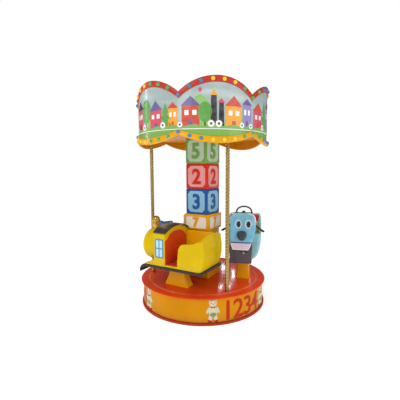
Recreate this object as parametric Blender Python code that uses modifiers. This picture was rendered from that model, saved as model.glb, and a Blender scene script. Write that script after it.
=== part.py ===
"""Coin-ride carousel for three small children: drum base, turning deck, block column and crown.

Metres, +Z up. The origin is on the floor at the centre of the base, which is also the axis of
the turntable. Angles round the axis are measured from -Y towards +X, seen from above.
"""
from math import asin, atan, cos, pi, radians, sin, sqrt

import bmesh
import bpy
from mathutils import Vector

# Fits between touching pieces
GAP = 0.0003
RUNNING_GAP = 0.007
ROUND_STEPS = 96

# Base drum
BASE_RADIUS = 0.706
BASE_PLATE_TOP = 0.024
SKIRT_RADIUS = 0.688
SKIRT_WALL = 0.010
PLATE_CHAMFER = 0.006
DECK_BOTTOM = 0.267
DECK_TOP = 0.280
DECK_RADIUS = 0.713
DECK_STEP_RADIUS = 0.622
DECK_STEP = 0.003
DECK_STEP_SLOPE = 0.008
BEARING_SEAT = 0.250
BEARING_RADIUS = 0.160
BEARING_POST_RADIUS = 0.090
BEARING_FLANGE = 0.015

# Block column
COLUMN_ANGLE = radians(-29.6)
BLOCK_SIDE = 0.279
BIG_BLOCK_SIDE = 0.320
PLINTH_SIDE = 0.284
BLOCK_LEVELS = (0.830, 1.008, 1.290, 1.568, 1.849)
# The blocks are set down a little askew, as a child would stack them
BLOCK_TURNS = (0.0, radians(-3.5), radians(-1.5), radians(-6.0))
PLINTH_ROUNDING = 0.008
BLOCK_ROUNDING = 0.010
BLOCK_NAMES = ("block_yellow", "block_blue", "block_red", "block_green")

# Crown: six lobes, each an arch above and a hanging arc below
LOBES = 6
LOBE_STEPS = 16
LOBE_HALF = pi / LOBES
CROWN_ANGLE = radians(-18.2)
CROWN_RADIUS = 0.705
CROWN_WALL = 0.008
CROWN_PEAK = 2.350
CROWN_CUSP = 2.212
CROWN_LOW_MID = 1.7485
CROWN_LOW_CUSP = 1.829
TRIM_HEIGHT = 0.058
LOW_TRIM_HEIGHT_MID = 0.062
LOW_TRIM_HEIGHT_CUSP = 0.044
TRIM_PROUD = 0.007
PANEL_INSET = 0.002
LOW_TRIM_FLARE = 0.012
BEAD_LEVEL = 1.878
BEAD_HEIGHT = 0.010
CEILING_BOTTOM = 1.8495
CEILING_TOP = 1.865

# Poles from deck to ceiling
POLE_RADIUS = 0.0195
POLE_CIRCLE = 0.595
POLE_ANGLES = (23.8, 147.0, 263.8)

# Riding figures: along = heading, out = distance from the axis
TRAIN_ANGLE = radians(-29.6)
BLUE_TRAIN_ANGLE = radians(-149.6)
BLUE_TRAIN_OUT = 0.028
SATCHEL_ANGLE = radians(79.0)
BODY_BOTTOM = 0.497
TRAIN_CENTRE = 0.4205
TRAIN_HALF_WIDTH = 0.2145
TRAIN_REAR = -0.335
TRAIN_WALL = 0.024
TRAIN_FLOOR = 0.020
TRAIN_BODY_LOW = 0.5253
TRAIN_TOP = 0.950
TUB_REAR_LEVELS = ((TRAIN_BODY_LOW, -0.325), (0.575, -0.340), (0.650, -0.354), (0.740, -0.357),
                   (0.820, -0.346), (TRAIN_TOP, -0.332))
TUB_CORNER = 0.030
HOLLOW_CORNER = 0.020
REAR_ARCH = ((-0.315, 0.800), (-0.235, 0.828), (-0.165, 0.856), (-0.060, 0.873), (0.0, 0.876),
             (0.060, 0.870), (0.165, 0.842), (0.235, 0.812), (0.315, 0.800))
DOOR_FRAME = -0.060
DOOR_CUT = TRAIN_WALL + 0.004
DOOR_LEAN = -0.074
DOOR_ARC_LEVEL = 0.700
YELLOW_SIDE = ((-0.145, 0.786), (-0.206, 0.792), (-0.266, 0.806), (-0.335, 0.858))
BLUE_SIDE = ((-0.098, 0.836), (-0.118, 0.845), (-0.300, 0.846), (-0.345, 0.856))
BENCH_FRONT = -0.110
BENCH_DOOR_GAP = 0.0045
BENCH_TOP = 0.640
CAB_REAR = 0.085
CAB_FRONT = 0.222
CAB_ARCH_TOP = 0.9205
CAB_ARCH_RADIUS = 0.430
CAB_ARCH_STEPS = 8
# Half the red wall, from its spring upwards to its crown; by the doorway it reaches the cab's side
BULKHEAD_HALF = ((0.1800, 0.770), (0.1725, 0.792), (0.1560, 0.818), (0.1350, 0.837), (0.1050, 0.853),
                 (0.0700, 0.864), (0.0350, 0.869), (0.0, 0.870))
BULKHEAD_DOOR_SIDE = ((0.2105, 0.790), (0.1620, 0.808))
BULKHEAD_THICKNESS = 0.006
ROOF_THICKNESS = 0.019
ROOF_HALF_WIDTH = 0.2195
ROOF_OVERHANG = 0.017
BLUE_ROOF_OVERHANG = 0.0
APRON_FRONT = 0.345
APRON_LOW = 0.5333
APRON_HIGH = 0.5775
BOILER_RADIUS = 0.168
BOILER_LEVEL = 0.704
BOILER_FRONT = 0.432
BOILER_EDGE = 0.060
CHIMNEY_ALONG = 0.352
CHIMNEY_PROFILE = ((0.0, 0.132), (0.018, 0.130), (0.034, 0.116), (0.040, 0.098), (0.046, 0.094),
                   (0.046, 0.072), (0.040, 0.068), (0.040, 0.012), (0.046, 0.008), (0.046, 0.0),
                   (0.0, 0.0))
APRON_ROOT = 0.03
BUMPER_CURL_ALONG = 0.336
BUMPER_CURL_RADIUS = 0.049
BUMPER_TIP = 0.014
BUMPER_TIP_THICKNESS = 0.014
BUMPER_PROUD = 0.006

# Pedestals under the figures
PEDESTAL_LIP = 0.012
PEDESTAL_WAIST = 0.390
PEDESTAL_CORNER = 0.012
TRAIN_PEDESTAL = ((0.060, 0.415), (0.1435, 0.059), (0.100, 0.050), (0.088, 0.048))
SATCHEL_PEDESTAL = ((0.074, 0.074), (0.064, 0.067), (0.064, 0.066))

# Satchel figure: the head leans back from its mouth, the seat tub stands behind it
SATCHEL_CENTRE = 0.470
HEAD_HALF = 0.139
HEAD_LOW = 0.720
HEAD_TOP = 1.035
HEAD_CORNER = 0.075
HEAD_BACK = 0.062
HEAD_OUTER_TAPER = (0.032, 0.150)
HEAD_INNER_TAPER = (0.007, 0.040)
HEAD_ROUNDING = 0.016
HEAD_SEAT = 0.002
FACE_LOW = 0.215
FACE_HIGH = 0.150
NOSE_LEVEL = 0.790
BOX_HALF = 0.117
BOX_SHIFT = -0.015
BOX_FRONT = 0.268
BOX_CHIN = (0.140, 0.512)
MOUTH_LOW = 0.658
MOUTH_BACK = 0.2165
MOUTH_LOW_HALF = 0.092
MOUTH_HIGH_HALF = 0.112
MOUTH_THICKNESS = 0.006
MOUTH_TOP_GAP = 0.003
NOSE_PROFILE = ((0.0, 0.030), (0.020, 0.027), (0.038, 0.014), (0.042, 0.0), (0.0, 0.0))
HANDLE_ALONG = 0.106
HANDLE_HALF = 0.082
HANDLE_SHIFT = 0.010
HANDLE_STEM = 0.010
HANDLE_FLATNESS = 0.72
HANDLE_RADIUS = 0.0085
BAR_ALONG = 0.0512
BAR_RADIUS = 0.0105
BAR_SHIFT = -0.008
BAR_ROUTE = ((0.229, 0.823), (0.204, 0.837), (0.160, 0.871), (0.120, 0.890))
SEAT_TUB_LEVELS = ((0.497, 0.105, -0.160), (0.515, 0.135, -0.180), (0.545, 0.158, -0.192),
                   (0.600, 0.178, -0.205), (0.680, 0.192, -0.215), (0.780, 0.197, -0.224),
                   (0.900, 0.194, -0.231), (0.955, 0.188, -0.235), (0.982, 0.172, -0.236))
SEAT_HOLLOW_LEVELS = ((0.585, 0.128, -0.165), (0.680, 0.168, -0.190), (0.860, 0.173, -0.205),
                      (0.960, 0.166, -0.213), (1.100, 0.156, -0.225))
SEAT_HOLLOW_FRONT = 0.036
SEAT_TUB_CORNER = 0.035
SEAT_HOLLOW_CORNER = 0.025
SEAT_SIDE_LINE = ((0.060, 0.796), (-0.060, 0.800), (-0.120, 0.820), (-0.160, 0.900), (-0.172, 0.950),
                  (-0.190, 0.974))
SEAT_BACK_TOP = 0.9815
SEAT_LOW = 0.585
SEAT_TOP = 0.630
SEAT_PAD = (-0.150, 0.030, 0.118)
SEAT_PAD_ROUNDING = 0.012
BACK_PAD_LEVELS = ((0.6303, 0.125), (0.680, 0.150), (0.860, 0.160), (0.940, 0.154), (0.968, 0.143))
BACK_PAD_THICKNESS = 0.024
BACK_PAD_CORNER = 0.0115


def clear_scene():
    """Start from nothing."""
    for item in list(bpy.data.objects):
        bpy.data.objects.remove(item, do_unlink=True)


def make_collection(name):
    """A collection linked to the scene."""
    group = bpy.data.collections.new(name)
    bpy.context.scene.collection.children.link(group)
    return group


def material(name, colour, roughness, metallic=0.0):
    """A Principled material, made once and shared."""
    found = bpy.data.materials.get(name)
    if found:
        return found
    made = bpy.data.materials.new(name)
    made.use_nodes = True
    shader = made.node_tree.nodes["Principled BSDF"]
    shader.inputs["Base Color"].default_value = (*colour, 1.0)
    shader.inputs["Roughness"].default_value = roughness
    shader.inputs["Metallic"].default_value = metallic
    return made


def place(data, name, look, parent=None, location=(0, 0, 0), rotation=(0, 0, 0)):
    """Link an object of the carousel and give it its material."""
    item = bpy.data.objects.new(name, data)
    item.location = location
    item.rotation_euler = rotation
    item.parent = parent
    if look is None:
        cutters.objects.link(item)
        item.hide_render = True
        item.display_type = "WIRE"
    else:
        carousel.objects.link(item)
        item.data.materials.append(look)
    return item


def pivot(name, angle, parent=None, location=(0, 0, 0)):
    """An empty on the axis that turns what it carries to its place."""
    item = bpy.data.objects.new(name, None)
    carousel.objects.link(item)
    item.location = location
    item.rotation_euler = (0.0, 0.0, angle)
    item.parent = parent
    return item


def at(angle, radius, level):
    """A point from its angle round the axis, its distance from it and its height."""
    return (radius * sin(angle), -radius * cos(angle), level)


def turned(name, profile, look, steps=ROUND_STEPS, closed=False, **where):
    """A lathe shape: the profile runs down its outer side."""
    shape = bmesh.new()
    points = [shape.verts.new((radius, 0.0, level)) for radius, level in profile]
    for first, second in zip(points, points[1:]):
        shape.edges.new((first, second))
    if closed:
        shape.edges.new((points[-1], points[0]))
    mesh = bpy.data.meshes.new(name)
    shape.to_mesh(mesh)
    shape.free()
    item = place(mesh, name, look, **where)
    screw = item.modifiers.new("Turn", "SCREW")
    screw.axis = "Z"
    screw.angle = 2.0 * pi
    screw.steps = steps
    screw.render_steps = steps
    screw.use_merge_vertices = True
    screw.merge_threshold = 0.00001
    screw.use_smooth_shade = True
    return item


def block(name, low, high, look, rounding=0.0, segments=2, **where):
    """A box between two corners, with rounded edges."""
    low = Vector(low)
    high = Vector(high)
    centre = (low + high) / 2.0
    size = high - low
    shape = bmesh.new()
    bmesh.ops.create_cube(shape, size=1.0)
    bmesh.ops.scale(shape, vec=size, verts=shape.verts)
    mesh = bpy.data.meshes.new(name)
    shape.to_mesh(mesh)
    shape.free()
    item = place(mesh, name, look, location=centre, **where)
    if rounding:
        bevel = item.modifiers.new("Edges", "BEVEL")
        bevel.width = rounding
        bevel.segments = segments
    return item


def outline_curve(name, outline, thickness):
    """A flat outline as a filled 2D curve, half its thickness to each side."""
    curve = bpy.data.curves.new(name, "CURVE")
    curve.dimensions = "2D"
    curve.fill_mode = "BOTH"
    curve.extrude = thickness / 2.0
    spline = curve.splines.new("POLY")
    spline.points.add(len(outline) - 1)
    for point, (across, up) in zip(spline.points, outline):
        point.co = (across, up, 0.0, 1.0)
    spline.use_cyclic_u = True
    return curve


SIDE_VIEW = (pi / 2.0, 0.0, 0.0)
END_VIEW = (pi / 2.0, 0.0, pi / 2.0)
PLAN_VIEW = (0.0, 0.0, 0.0)


def prism(name, outline, low, high, look, view=SIDE_VIEW, **where):
    """An outline drawn in one view and run from low to high across it, as a closed mesh."""
    middle = (low + high) / 2.0
    centre = {SIDE_VIEW: (0, middle, 0), END_VIEW: (middle, 0, 0), PLAN_VIEW: (0, 0, middle)}[view]
    curve = outline_curve(name + "_outline", outline, high - low)
    guide = bpy.data.objects.new(name + "_outline", curve)
    cutters.objects.link(guide)
    mesh = bpy.data.meshes.new_from_object(guide.evaluated_get(bpy.context.evaluated_depsgraph_get()))
    mesh.name = name
    bpy.data.objects.remove(guide)
    shape = bmesh.new()
    shape.from_mesh(mesh)
    bmesh.ops.remove_doubles(shape, verts=shape.verts, dist=0.00001)
    shape.to_mesh(mesh)
    shape.free()
    return place(mesh, name, look, location=centre, rotation=view, **where)


def tube(name, route, radius, look, **where):
    """A bent rod with closed ends."""
    curve = bpy.data.curves.new(name, "CURVE")
    curve.dimensions = "3D"
    curve.bevel_depth = radius
    curve.bevel_resolution = 2
    curve.use_fill_caps = True
    spline = curve.splines.new("POLY")
    spline.points.add(len(route) - 1)
    for point, position in zip(spline.points, route):
        point.co = (*position, 1.0)
    return place(curve, name, look, **where)


def boolean(item, tool, operation="DIFFERENCE"):
    """Cut or join with the exact solver."""
    cut = item.modifiers.new(tool.name, "BOOLEAN")
    cut.operation = operation
    cut.solver = "EXACT"
    cut.object = tool


def arc(centre, radius, start, end, steps):
    """Points on a circle from one angle to another."""
    angles = [start + (end - start) * step / steps for step in range(steps + 1)]
    return [(centre[0] + radius * cos(angle), centre[1] + radius * sin(angle)) for angle in angles]


def rounded_rectangle(low, high, radius, steps=4):
    """Outline of a rectangle with round corners, anticlockwise."""
    corners = ((high[0] - radius, low[1] + radius, -pi / 2), (high[0] - radius, high[1] - radius, 0.0),
               (low[0] + radius, high[1] - radius, pi / 2), (low[0] + radius, low[1] + radius, pi))
    points = []
    for across, up, start in corners:
        points += arc((across, up), radius, start, start + pi / 2, steps)
    return points


def loft(name, rings, look, **where):
    """Closed skin through rings of equal length, from the lowest to the highest."""
    shape = bmesh.new()
    rows = [[shape.verts.new(point) for point in ring] for ring in rings]
    count = len(rows[0])
    for lower, upper in zip(rows, rows[1:]):
        for index in range(count):
            following = (index + 1) % count
            shape.faces.new((lower[index], lower[following], upper[following], upper[index]))
    shape.faces.new(list(reversed(rows[0])))
    shape.faces.new(rows[-1])
    mesh = bpy.data.meshes.new(name)
    shape.to_mesh(mesh)
    shape.free()
    return place(mesh, name, look, **where)


def lobe_drop(angle, height):
    """How far a lobe's arc has fallen at an angle from its middle; height is the fall at the cusp."""
    half_width = CROWN_RADIUS * LOBE_HALF
    radius = (half_width ** 2 + height ** 2) / (2.0 * height)
    from_middle = (angle % (2.0 * LOBE_HALF)) - LOBE_HALF
    return radius - sqrt(radius ** 2 - (CROWN_RADIUS * from_middle) ** 2)


def top_edge(angle):
    """Height of the crown's upper edge; cusps are at whole lobes."""
    return CROWN_PEAK - lobe_drop(angle, CROWN_PEAK - CROWN_CUSP)


def low_edge(angle):
    """Height of the crown's lower edge."""
    return CROWN_LOW_MID + lobe_drop(angle, CROWN_LOW_CUSP - CROWN_LOW_MID)


def low_trim_top(angle):
    """Height of the upper edge of the lower trim."""
    share = lobe_drop(angle, CROWN_LOW_CUSP - CROWN_LOW_MID) / (CROWN_LOW_CUSP - CROWN_LOW_MID)
    height = LOW_TRIM_HEIGHT_MID + (LOW_TRIM_HEIGHT_CUSP - LOW_TRIM_HEIGHT_MID) * share
    return low_edge(angle) + height


def curved_band(name, section, look, lobes=LOBES, **where):
    """Sweep a four-cornered section round the axis: a closed ring, or a panel with a seam gap."""
    steps = lobes * LOBE_STEPS
    closed = lobes == LOBES
    seam = 0.0 if closed else GAP / CROWN_RADIUS
    span = lobes * 2.0 * LOBE_HALF - seam
    shape = bmesh.new()
    rings = []
    for step in range(steps if closed else steps + 1):
        angle = seam / 2.0 + span * step / steps
        corners = section(angle)
        rings.append([shape.verts.new((r * cos(angle), r * sin(angle), z)) for r, z in corners])
    pairs = list(zip(rings, rings[1:]))
    if closed:
        pairs.append((rings[-1], rings[0]))
    for first, second in pairs:
        for index in range(4):
            following = (index + 1) % 4
            shape.faces.new((first[index], second[index], second[following], first[following]))
    if not closed:
        shape.faces.new(rings[0])
        shape.faces.new(list(reversed(rings[-1])))
    mesh = bpy.data.meshes.new(name)
    shape.to_mesh(mesh)
    shape.free()
    return place(mesh, name, look, **where)


def base():
    """The drum that stands on the floor, and the bearing post inside it."""
    red = material("red_gelcoat", (0.50, 0.035, 0.008), 0.2)
    yellow = material("amber_gelcoat", (0.62, 0.26, 0.004), 0.3)
    steel = material("grey_steel", (0.25, 0.26, 0.27), 0.45, 0.8)
    turned("base_plate", [(0.0, BASE_PLATE_TOP), (BASE_RADIUS - PLATE_CHAMFER, BASE_PLATE_TOP),
                          (BASE_RADIUS, BASE_PLATE_TOP - PLATE_CHAMFER), (BASE_RADIUS, 0.0), (0.0, 0.0)], red)
    low = BASE_PLATE_TOP + GAP
    high = DECK_BOTTOM - RUNNING_GAP
    inner = SKIRT_RADIUS - SKIRT_WALL
    turned("base_skirt", [(SKIRT_RADIUS, high), (SKIRT_RADIUS, low), (inner, low), (inner, high)],
           yellow, closed=True)
    flange = BEARING_SEAT - BEARING_FLANGE
    turned("bearing_post", [(0.0, BEARING_SEAT - GAP), (BEARING_RADIUS, BEARING_SEAT - GAP),
                            (BEARING_RADIUS, flange), (BEARING_POST_RADIUS, flange),
                            (BEARING_POST_RADIUS, low), (0.0, low)], steel, steps=48)


def deck():
    """The turning platform and its hub."""
    red = material("red_gelcoat", (0.50, 0.035, 0.008), 0.2)
    steel = material("grey_steel", (0.25, 0.26, 0.27), 0.45, 0.8)
    turned("deck_hub", [(0.0, DECK_BOTTOM - GAP), (BEARING_RADIUS, DECK_BOTTOM - GAP),
                        (BEARING_RADIUS, BEARING_SEAT), (0.0, BEARING_SEAT)],
           steel, steps=48, parent=turntable)
    rim = DECK_TOP - DECK_BOTTOM
    edge = arc((DECK_RADIUS - rim / 2, DECK_BOTTOM + rim / 2 - DECK_STEP / 2), rim / 2 - DECK_STEP / 2,
               pi / 2, -pi / 2, 4)
    turned("deck", [(0.0, DECK_TOP), (DECK_STEP_RADIUS, DECK_TOP),
                    (DECK_STEP_RADIUS + DECK_STEP_SLOPE, DECK_TOP - DECK_STEP), *edge, (0.0, DECK_BOTTOM)],
           red, parent=turntable)


def column():
    """Four toy blocks on a square plinth, up to the ceiling."""
    orange = material("orange_gelcoat", (0.58, 0.19, 0.004), 0.3)
    looks = (material("orange_yellow_gelcoat", (0.78, 0.32, 0.010), 0.3),
             material("blue_gelcoat", (0.020, 0.085, 0.27), 0.3),
             material("bright_red_gelcoat", (0.58, 0.025, 0.015), 0.3),
             material("green_gelcoat", (0.20, 0.38, 0.10), 0.3))
    stand = pivot("column_pivot", COLUMN_ANGLE, turntable)
    half = PLINTH_SIDE / 2
    block("column_plinth", (-half, -half, DECK_TOP + GAP), (half, half, BLOCK_LEVELS[0] - GAP),
          orange, PLINTH_ROUNDING, parent=stand)
    for name, look, turn, low, high in zip(BLOCK_NAMES, looks, BLOCK_TURNS, BLOCK_LEVELS, BLOCK_LEVELS[1:]):
        half = (BIG_BLOCK_SIDE if name == "block_yellow" else BLOCK_SIDE) / 2
        block(name, (-half, -half, low), (half, half, high - GAP), look, BLOCK_ROUNDING,
              parent=stand, rotation=(0.0, 0.0, turn))


def crown():
    """Scalloped ring of six panels with its trims, carried by the ceiling plate."""
    white = material("white_gelcoat", (0.75, 0.75, 0.72), 0.3)
    sky = material("sky_gelcoat", (0.52, 0.60, 0.64), 0.25)
    red = material("bright_red_gelcoat", (0.58, 0.025, 0.015), 0.3)
    yellow = material("yellow_gelcoat", (0.80, 0.42, 0.010), 0.3)
    ring = pivot("crown_pivot", CROWN_ANGLE - pi / 2, turntable)
    inner = CROWN_RADIUS - CROWN_WALL
    turned("ceiling", [(0.0, CEILING_TOP), (inner - GAP, CEILING_TOP),
                       (inner - GAP, CEILING_BOTTOM), (0.0, CEILING_BOTTOM)], yellow, parent=ring)

    def panel_section(angle):
        low = low_edge(angle) + PANEL_INSET
        high = top_edge(angle) - PANEL_INSET
        return [(inner, low), (CROWN_RADIUS, low), (CROWN_RADIUS, high), (inner, high)]

    skin = CROWN_RADIUS + GAP

    def top_section(angle):
        high = top_edge(angle)
        low = high - TRIM_HEIGHT
        outer = skin + TRIM_PROUD
        return [(skin, low), (outer, low), (outer, high), (skin, high)]

    def low_section(angle):
        low = low_edge(angle)
        high = low_trim_top(angle)
        outer = skin + TRIM_PROUD
        return [(skin, low), (outer + LOW_TRIM_FLARE, low), (outer, high), (skin, high)]

    def bead_section(angle):
        low = BEAD_LEVEL - BEAD_HEIGHT / 2
        outer = skin + TRIM_PROUD
        return [(skin, low), (outer, low), (outer, low + BEAD_HEIGHT), (skin, low + BEAD_HEIGHT)]

    for number in range(LOBES):
        curved_band(f"crown_panel_{number + 1}", panel_section, sky, lobes=1, parent=ring,
                    rotation=(0.0, 0.0, 2.0 * LOBE_HALF * number))
    curved_band("crown_top_trim", top_section, red, parent=ring)
    curved_band("crown_bead", bead_section, white, parent=ring)
    curved_band("crown_lower_trim", low_section, yellow, parent=ring)


def poles():
    """Three upright brass poles."""
    brass = material("brass", (0.50, 0.36, 0.10), 0.3, 1.0)
    low = DECK_TOP + GAP
    high = CEILING_BOTTOM - GAP
    for number, angle in enumerate(POLE_ANGLES, 1):
        turned(f"pole_{number}", [(0.0, high), (POLE_RADIUS, high), (POLE_RADIUS, low), (0.0, low)],
               brass, steps=16, parent=turntable, location=at(radians(angle), POLE_CIRCLE, 0.0))


def pedestal(name, centre, foot, waist, top, look, parent):
    """A flared foot with a square plan; sizes are half lengths along and across."""
    levels = (DECK_TOP + GAP, DECK_TOP + PEDESTAL_LIP, PEDESTAL_WAIST, BODY_BOTTOM - GAP)
    rings = []
    for level, (along, across) in zip(levels, (foot, foot, waist, top)):
        outline = rounded_rectangle((centre[0] - along, centre[1] - across),
                                    (centre[0] + along, centre[1] + across), PEDESTAL_CORNER, 3)
        rings.append([(x, y, level) for x, y in outline])
    return loft(name, rings, look, parent=parent)


def cab_arch(proud, half_width):
    """The barrel arch over the cab, or a layer proud of it, from its far side to its near side."""
    half_angle = asin(half_width / CAB_ARCH_RADIUS)
    centre = (TRAIN_CENTRE, CAB_ARCH_TOP - CAB_ARCH_RADIUS)
    return arc(centre, CAB_ARCH_RADIUS + proud, pi / 2 + half_angle, pi / 2 - half_angle, 2 * CAB_ARCH_STEPS)


def train_bumper(name, stand):
    """Edge plate under the whole body, curled down at the front."""
    black = material("black_rubber", (0.05, 0.045, 0.045), 0.5)
    thickness = TRAIN_BODY_LOW - GAP - BODY_BOTTOM
    centre = (BUMPER_CURL_ALONG, BODY_BOTTOM - BUMPER_CURL_RADIUS)
    tip = centre[1] - BUMPER_TIP
    rear = TRAIN_REAR - BUMPER_PROUD
    stretch = 1.0 + (thickness - BUMPER_TIP_THICKNESS) / BUMPER_CURL_RADIUS
    under = [(centre[0] + stretch * (along - centre[0]), level)
             for along, level in reversed(arc(centre, BUMPER_CURL_RADIUS, 0.0, pi / 2, 5))]
    outline = [(rear, BODY_BOTTOM), *under,
               (under[-1][0], tip), (centre[0] + BUMPER_CURL_RADIUS + thickness, tip),
               *arc(centre, BUMPER_CURL_RADIUS + thickness, 0.0, pi / 2, 5), (rear, BODY_BOTTOM + thickness)]
    half = TRAIN_HALF_WIDTH + BUMPER_PROUD
    prism(name + "_bumper", outline, TRAIN_CENTRE - half, TRAIN_CENTRE + half, black, parent=stand)


def train_tub(name, shell, side, stand):
    """Seat tub behind the cab: bulged rear wall, arched top, doorway on the outer side."""
    far = TRAIN_CENTRE - TRAIN_HALF_WIDTH
    near = TRAIN_CENTRE + TRAIN_HALF_WIDTH
    front = CAB_REAR - GAP
    floor = TRAIN_BODY_LOW + TRAIN_FLOOR
    beyond = 0.1
    rings = []
    for level, rear in TUB_REAR_LEVELS:
        outline = [(front, far), (front, near),
                   *arc((rear + TUB_CORNER, near - TUB_CORNER), TUB_CORNER, pi / 2, pi, 4),
                   *arc((rear + TUB_CORNER, far + TUB_CORNER), TUB_CORNER, pi, 3 * pi / 2, 4)]
        rings.append([(x, y, level) for x, y in outline])
    tub = loft(name + "_tub", rings, shell, parent=stand)
    inner = rounded_rectangle((TRAIN_REAR + TRAIN_WALL, far + TRAIN_WALL),
                              (front + 2 * beyond, near - TRAIN_WALL), HOLLOW_CORNER)
    hollow = prism(name + "_hollow", inner, floor, TRAIN_TOP + beyond, None, view=PLAN_VIEW, parent=stand)
    boolean(tub, hollow)
    arch = [(TRAIN_CENTRE + across, level) for across, level in REAR_ARCH]
    above = TRAIN_TOP + beyond
    over = prism(name + "_over", [(arch[0][0], above), *arch, (arch[-1][0], above)],
                 TRAIN_REAR - beyond, front + beyond, None, view=END_VIEW, parent=stand)
    boolean(tub, over)
    corner = side[0][1] - DOOR_ARC_LEVEL
    door = [(front + beyond, floor), (DOOR_FRAME, floor), (DOOR_LEAN, DOOR_ARC_LEVEL)]
    start = side[0][0]
    for step in range(1, 5):
        angle = step * pi / 8
        door.append((start + (DOOR_LEAN - start) * cos(angle), DOOR_ARC_LEVEL + corner * sin(angle)))
    door += [*side[1:], (side[-1][0], above), (front + beyond, above)]
    doorway = prism(name + "_doorway", door, near - DOOR_CUT, near + beyond, None, parent=stand)
    boolean(tub, doorway)


def train_cab(name, shell, stand):
    """Closed cab with the sloping apron in front of it, hollowed for the boiler."""
    far = TRAIN_CENTRE - TRAIN_HALF_WIDTH
    near = TRAIN_CENTRE + TRAIN_HALF_WIDTH
    inside = CAB_FRONT - APRON_ROOT
    sides = [(near, TRAIN_BODY_LOW), *reversed(cab_arch(0.0, TRAIN_HALF_WIDTH)), (far, TRAIN_BODY_LOW)]
    cab = prism(name + "_cab", sides, CAB_REAR, CAB_FRONT, shell, view=END_VIEW, parent=stand)
    slope = [(inside, TRAIN_BODY_LOW), (APRON_FRONT, TRAIN_BODY_LOW), (APRON_FRONT, APRON_LOW),
             (CAB_FRONT, APRON_HIGH), (inside, APRON_HIGH)]
    apron = prism(name + "_apron", slope, far, near, None, parent=stand)
    boolean(cab, apron, "UNION")
    room = turned(name + "_boiler_room", [(0.0, 0.2), (BOILER_RADIUS + GAP, 0.2),
                                          (BOILER_RADIUS + GAP, 0.0), (0.0, 0.0)], None, steps=40,
                  parent=stand, location=(CAB_FRONT, TRAIN_CENTRE, BOILER_LEVEL), rotation=(0, pi / 2, 0))
    boolean(cab, room)


def train(name, angle, out, shell, lining, side, overhang):
    """A small locomotive with an open seat tub behind its cab."""
    stand = pivot(name + "_pivot", angle + pi, turntable, at(angle, out, 0.0))
    orange = material("orange_gelcoat", (0.58, 0.19, 0.004), 0.3)
    black = material("black_rubber", (0.05, 0.045, 0.045), 0.5)
    red = material("bright_red_gelcoat", (0.58, 0.025, 0.015), 0.3)
    gold = material("gold_paint", (0.62, 0.40, 0.06), 0.35, 0.6)
    pedestal(name + "_pedestal", *TRAIN_PEDESTAL, orange, stand)
    train_bumper(name, stand)
    train_tub(name, shell, side, stand)
    train_cab(name, shell, stand)
    low = TRAIN_BODY_LOW + TRAIN_FLOOR + GAP
    arch = [(-across, level) for across, level in BULKHEAD_HALF]
    arch += [(across, level) for across, level in reversed(BULKHEAD_HALF[2:-1])]
    arch += reversed(BULKHEAD_DOOR_SIDE)
    bulkhead = [(arch[-1][0], low), (arch[0][0], low), *arch]
    bulkhead = [(TRAIN_CENTRE + across, level) for across, level in bulkhead]
    prism(name + "_bulkhead", bulkhead, CAB_REAR - BULKHEAD_THICKNESS - GAP, CAB_REAR - GAP, red,
          view=END_VIEW, parent=stand)
    roof = [*cab_arch(GAP, ROOF_HALF_WIDTH), *reversed(cab_arch(ROOF_THICKNESS, ROOF_HALF_WIDTH))]
    prism(name + "_roof", roof, CAB_REAR - overhang, CAB_FRONT, black,
          view=END_VIEW, parent=stand)

    # Boiler lying along the heading, chimney on top
    length = BOILER_FRONT - CAB_FRONT - GAP
    rounded = arc((BOILER_RADIUS - BOILER_EDGE, length - BOILER_EDGE), BOILER_EDGE, pi / 2, 0.0, 5)
    turned(name + "_boiler", [(0.0, length), *rounded, (BOILER_RADIUS, 0.0), (0.0, 0.0)], shell, steps=40,
           parent=stand, location=(CAB_FRONT + GAP, TRAIN_CENTRE, BOILER_LEVEL), rotation=(0, pi / 2, 0))
    foot = BOILER_LEVEL + BOILER_RADIUS + GAP
    turned(name + "_chimney", CHIMNEY_PROFILE, gold, steps=24, parent=stand,
           location=(CHIMNEY_ALONG, TRAIN_CENTRE, foot))
    wall = TRAIN_HALF_WIDTH - TRAIN_WALL - GAP
    bench = rounded_rectangle((TRAIN_REAR + TRAIN_WALL + GAP, TRAIN_CENTRE - wall),
                              (BENCH_FRONT, TRAIN_CENTRE + wall - BENCH_DOOR_GAP), HOLLOW_CORNER)
    prism(name + "_seat", bench, low, BENCH_TOP, lining, view=PLAN_VIEW, parent=stand)


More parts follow.
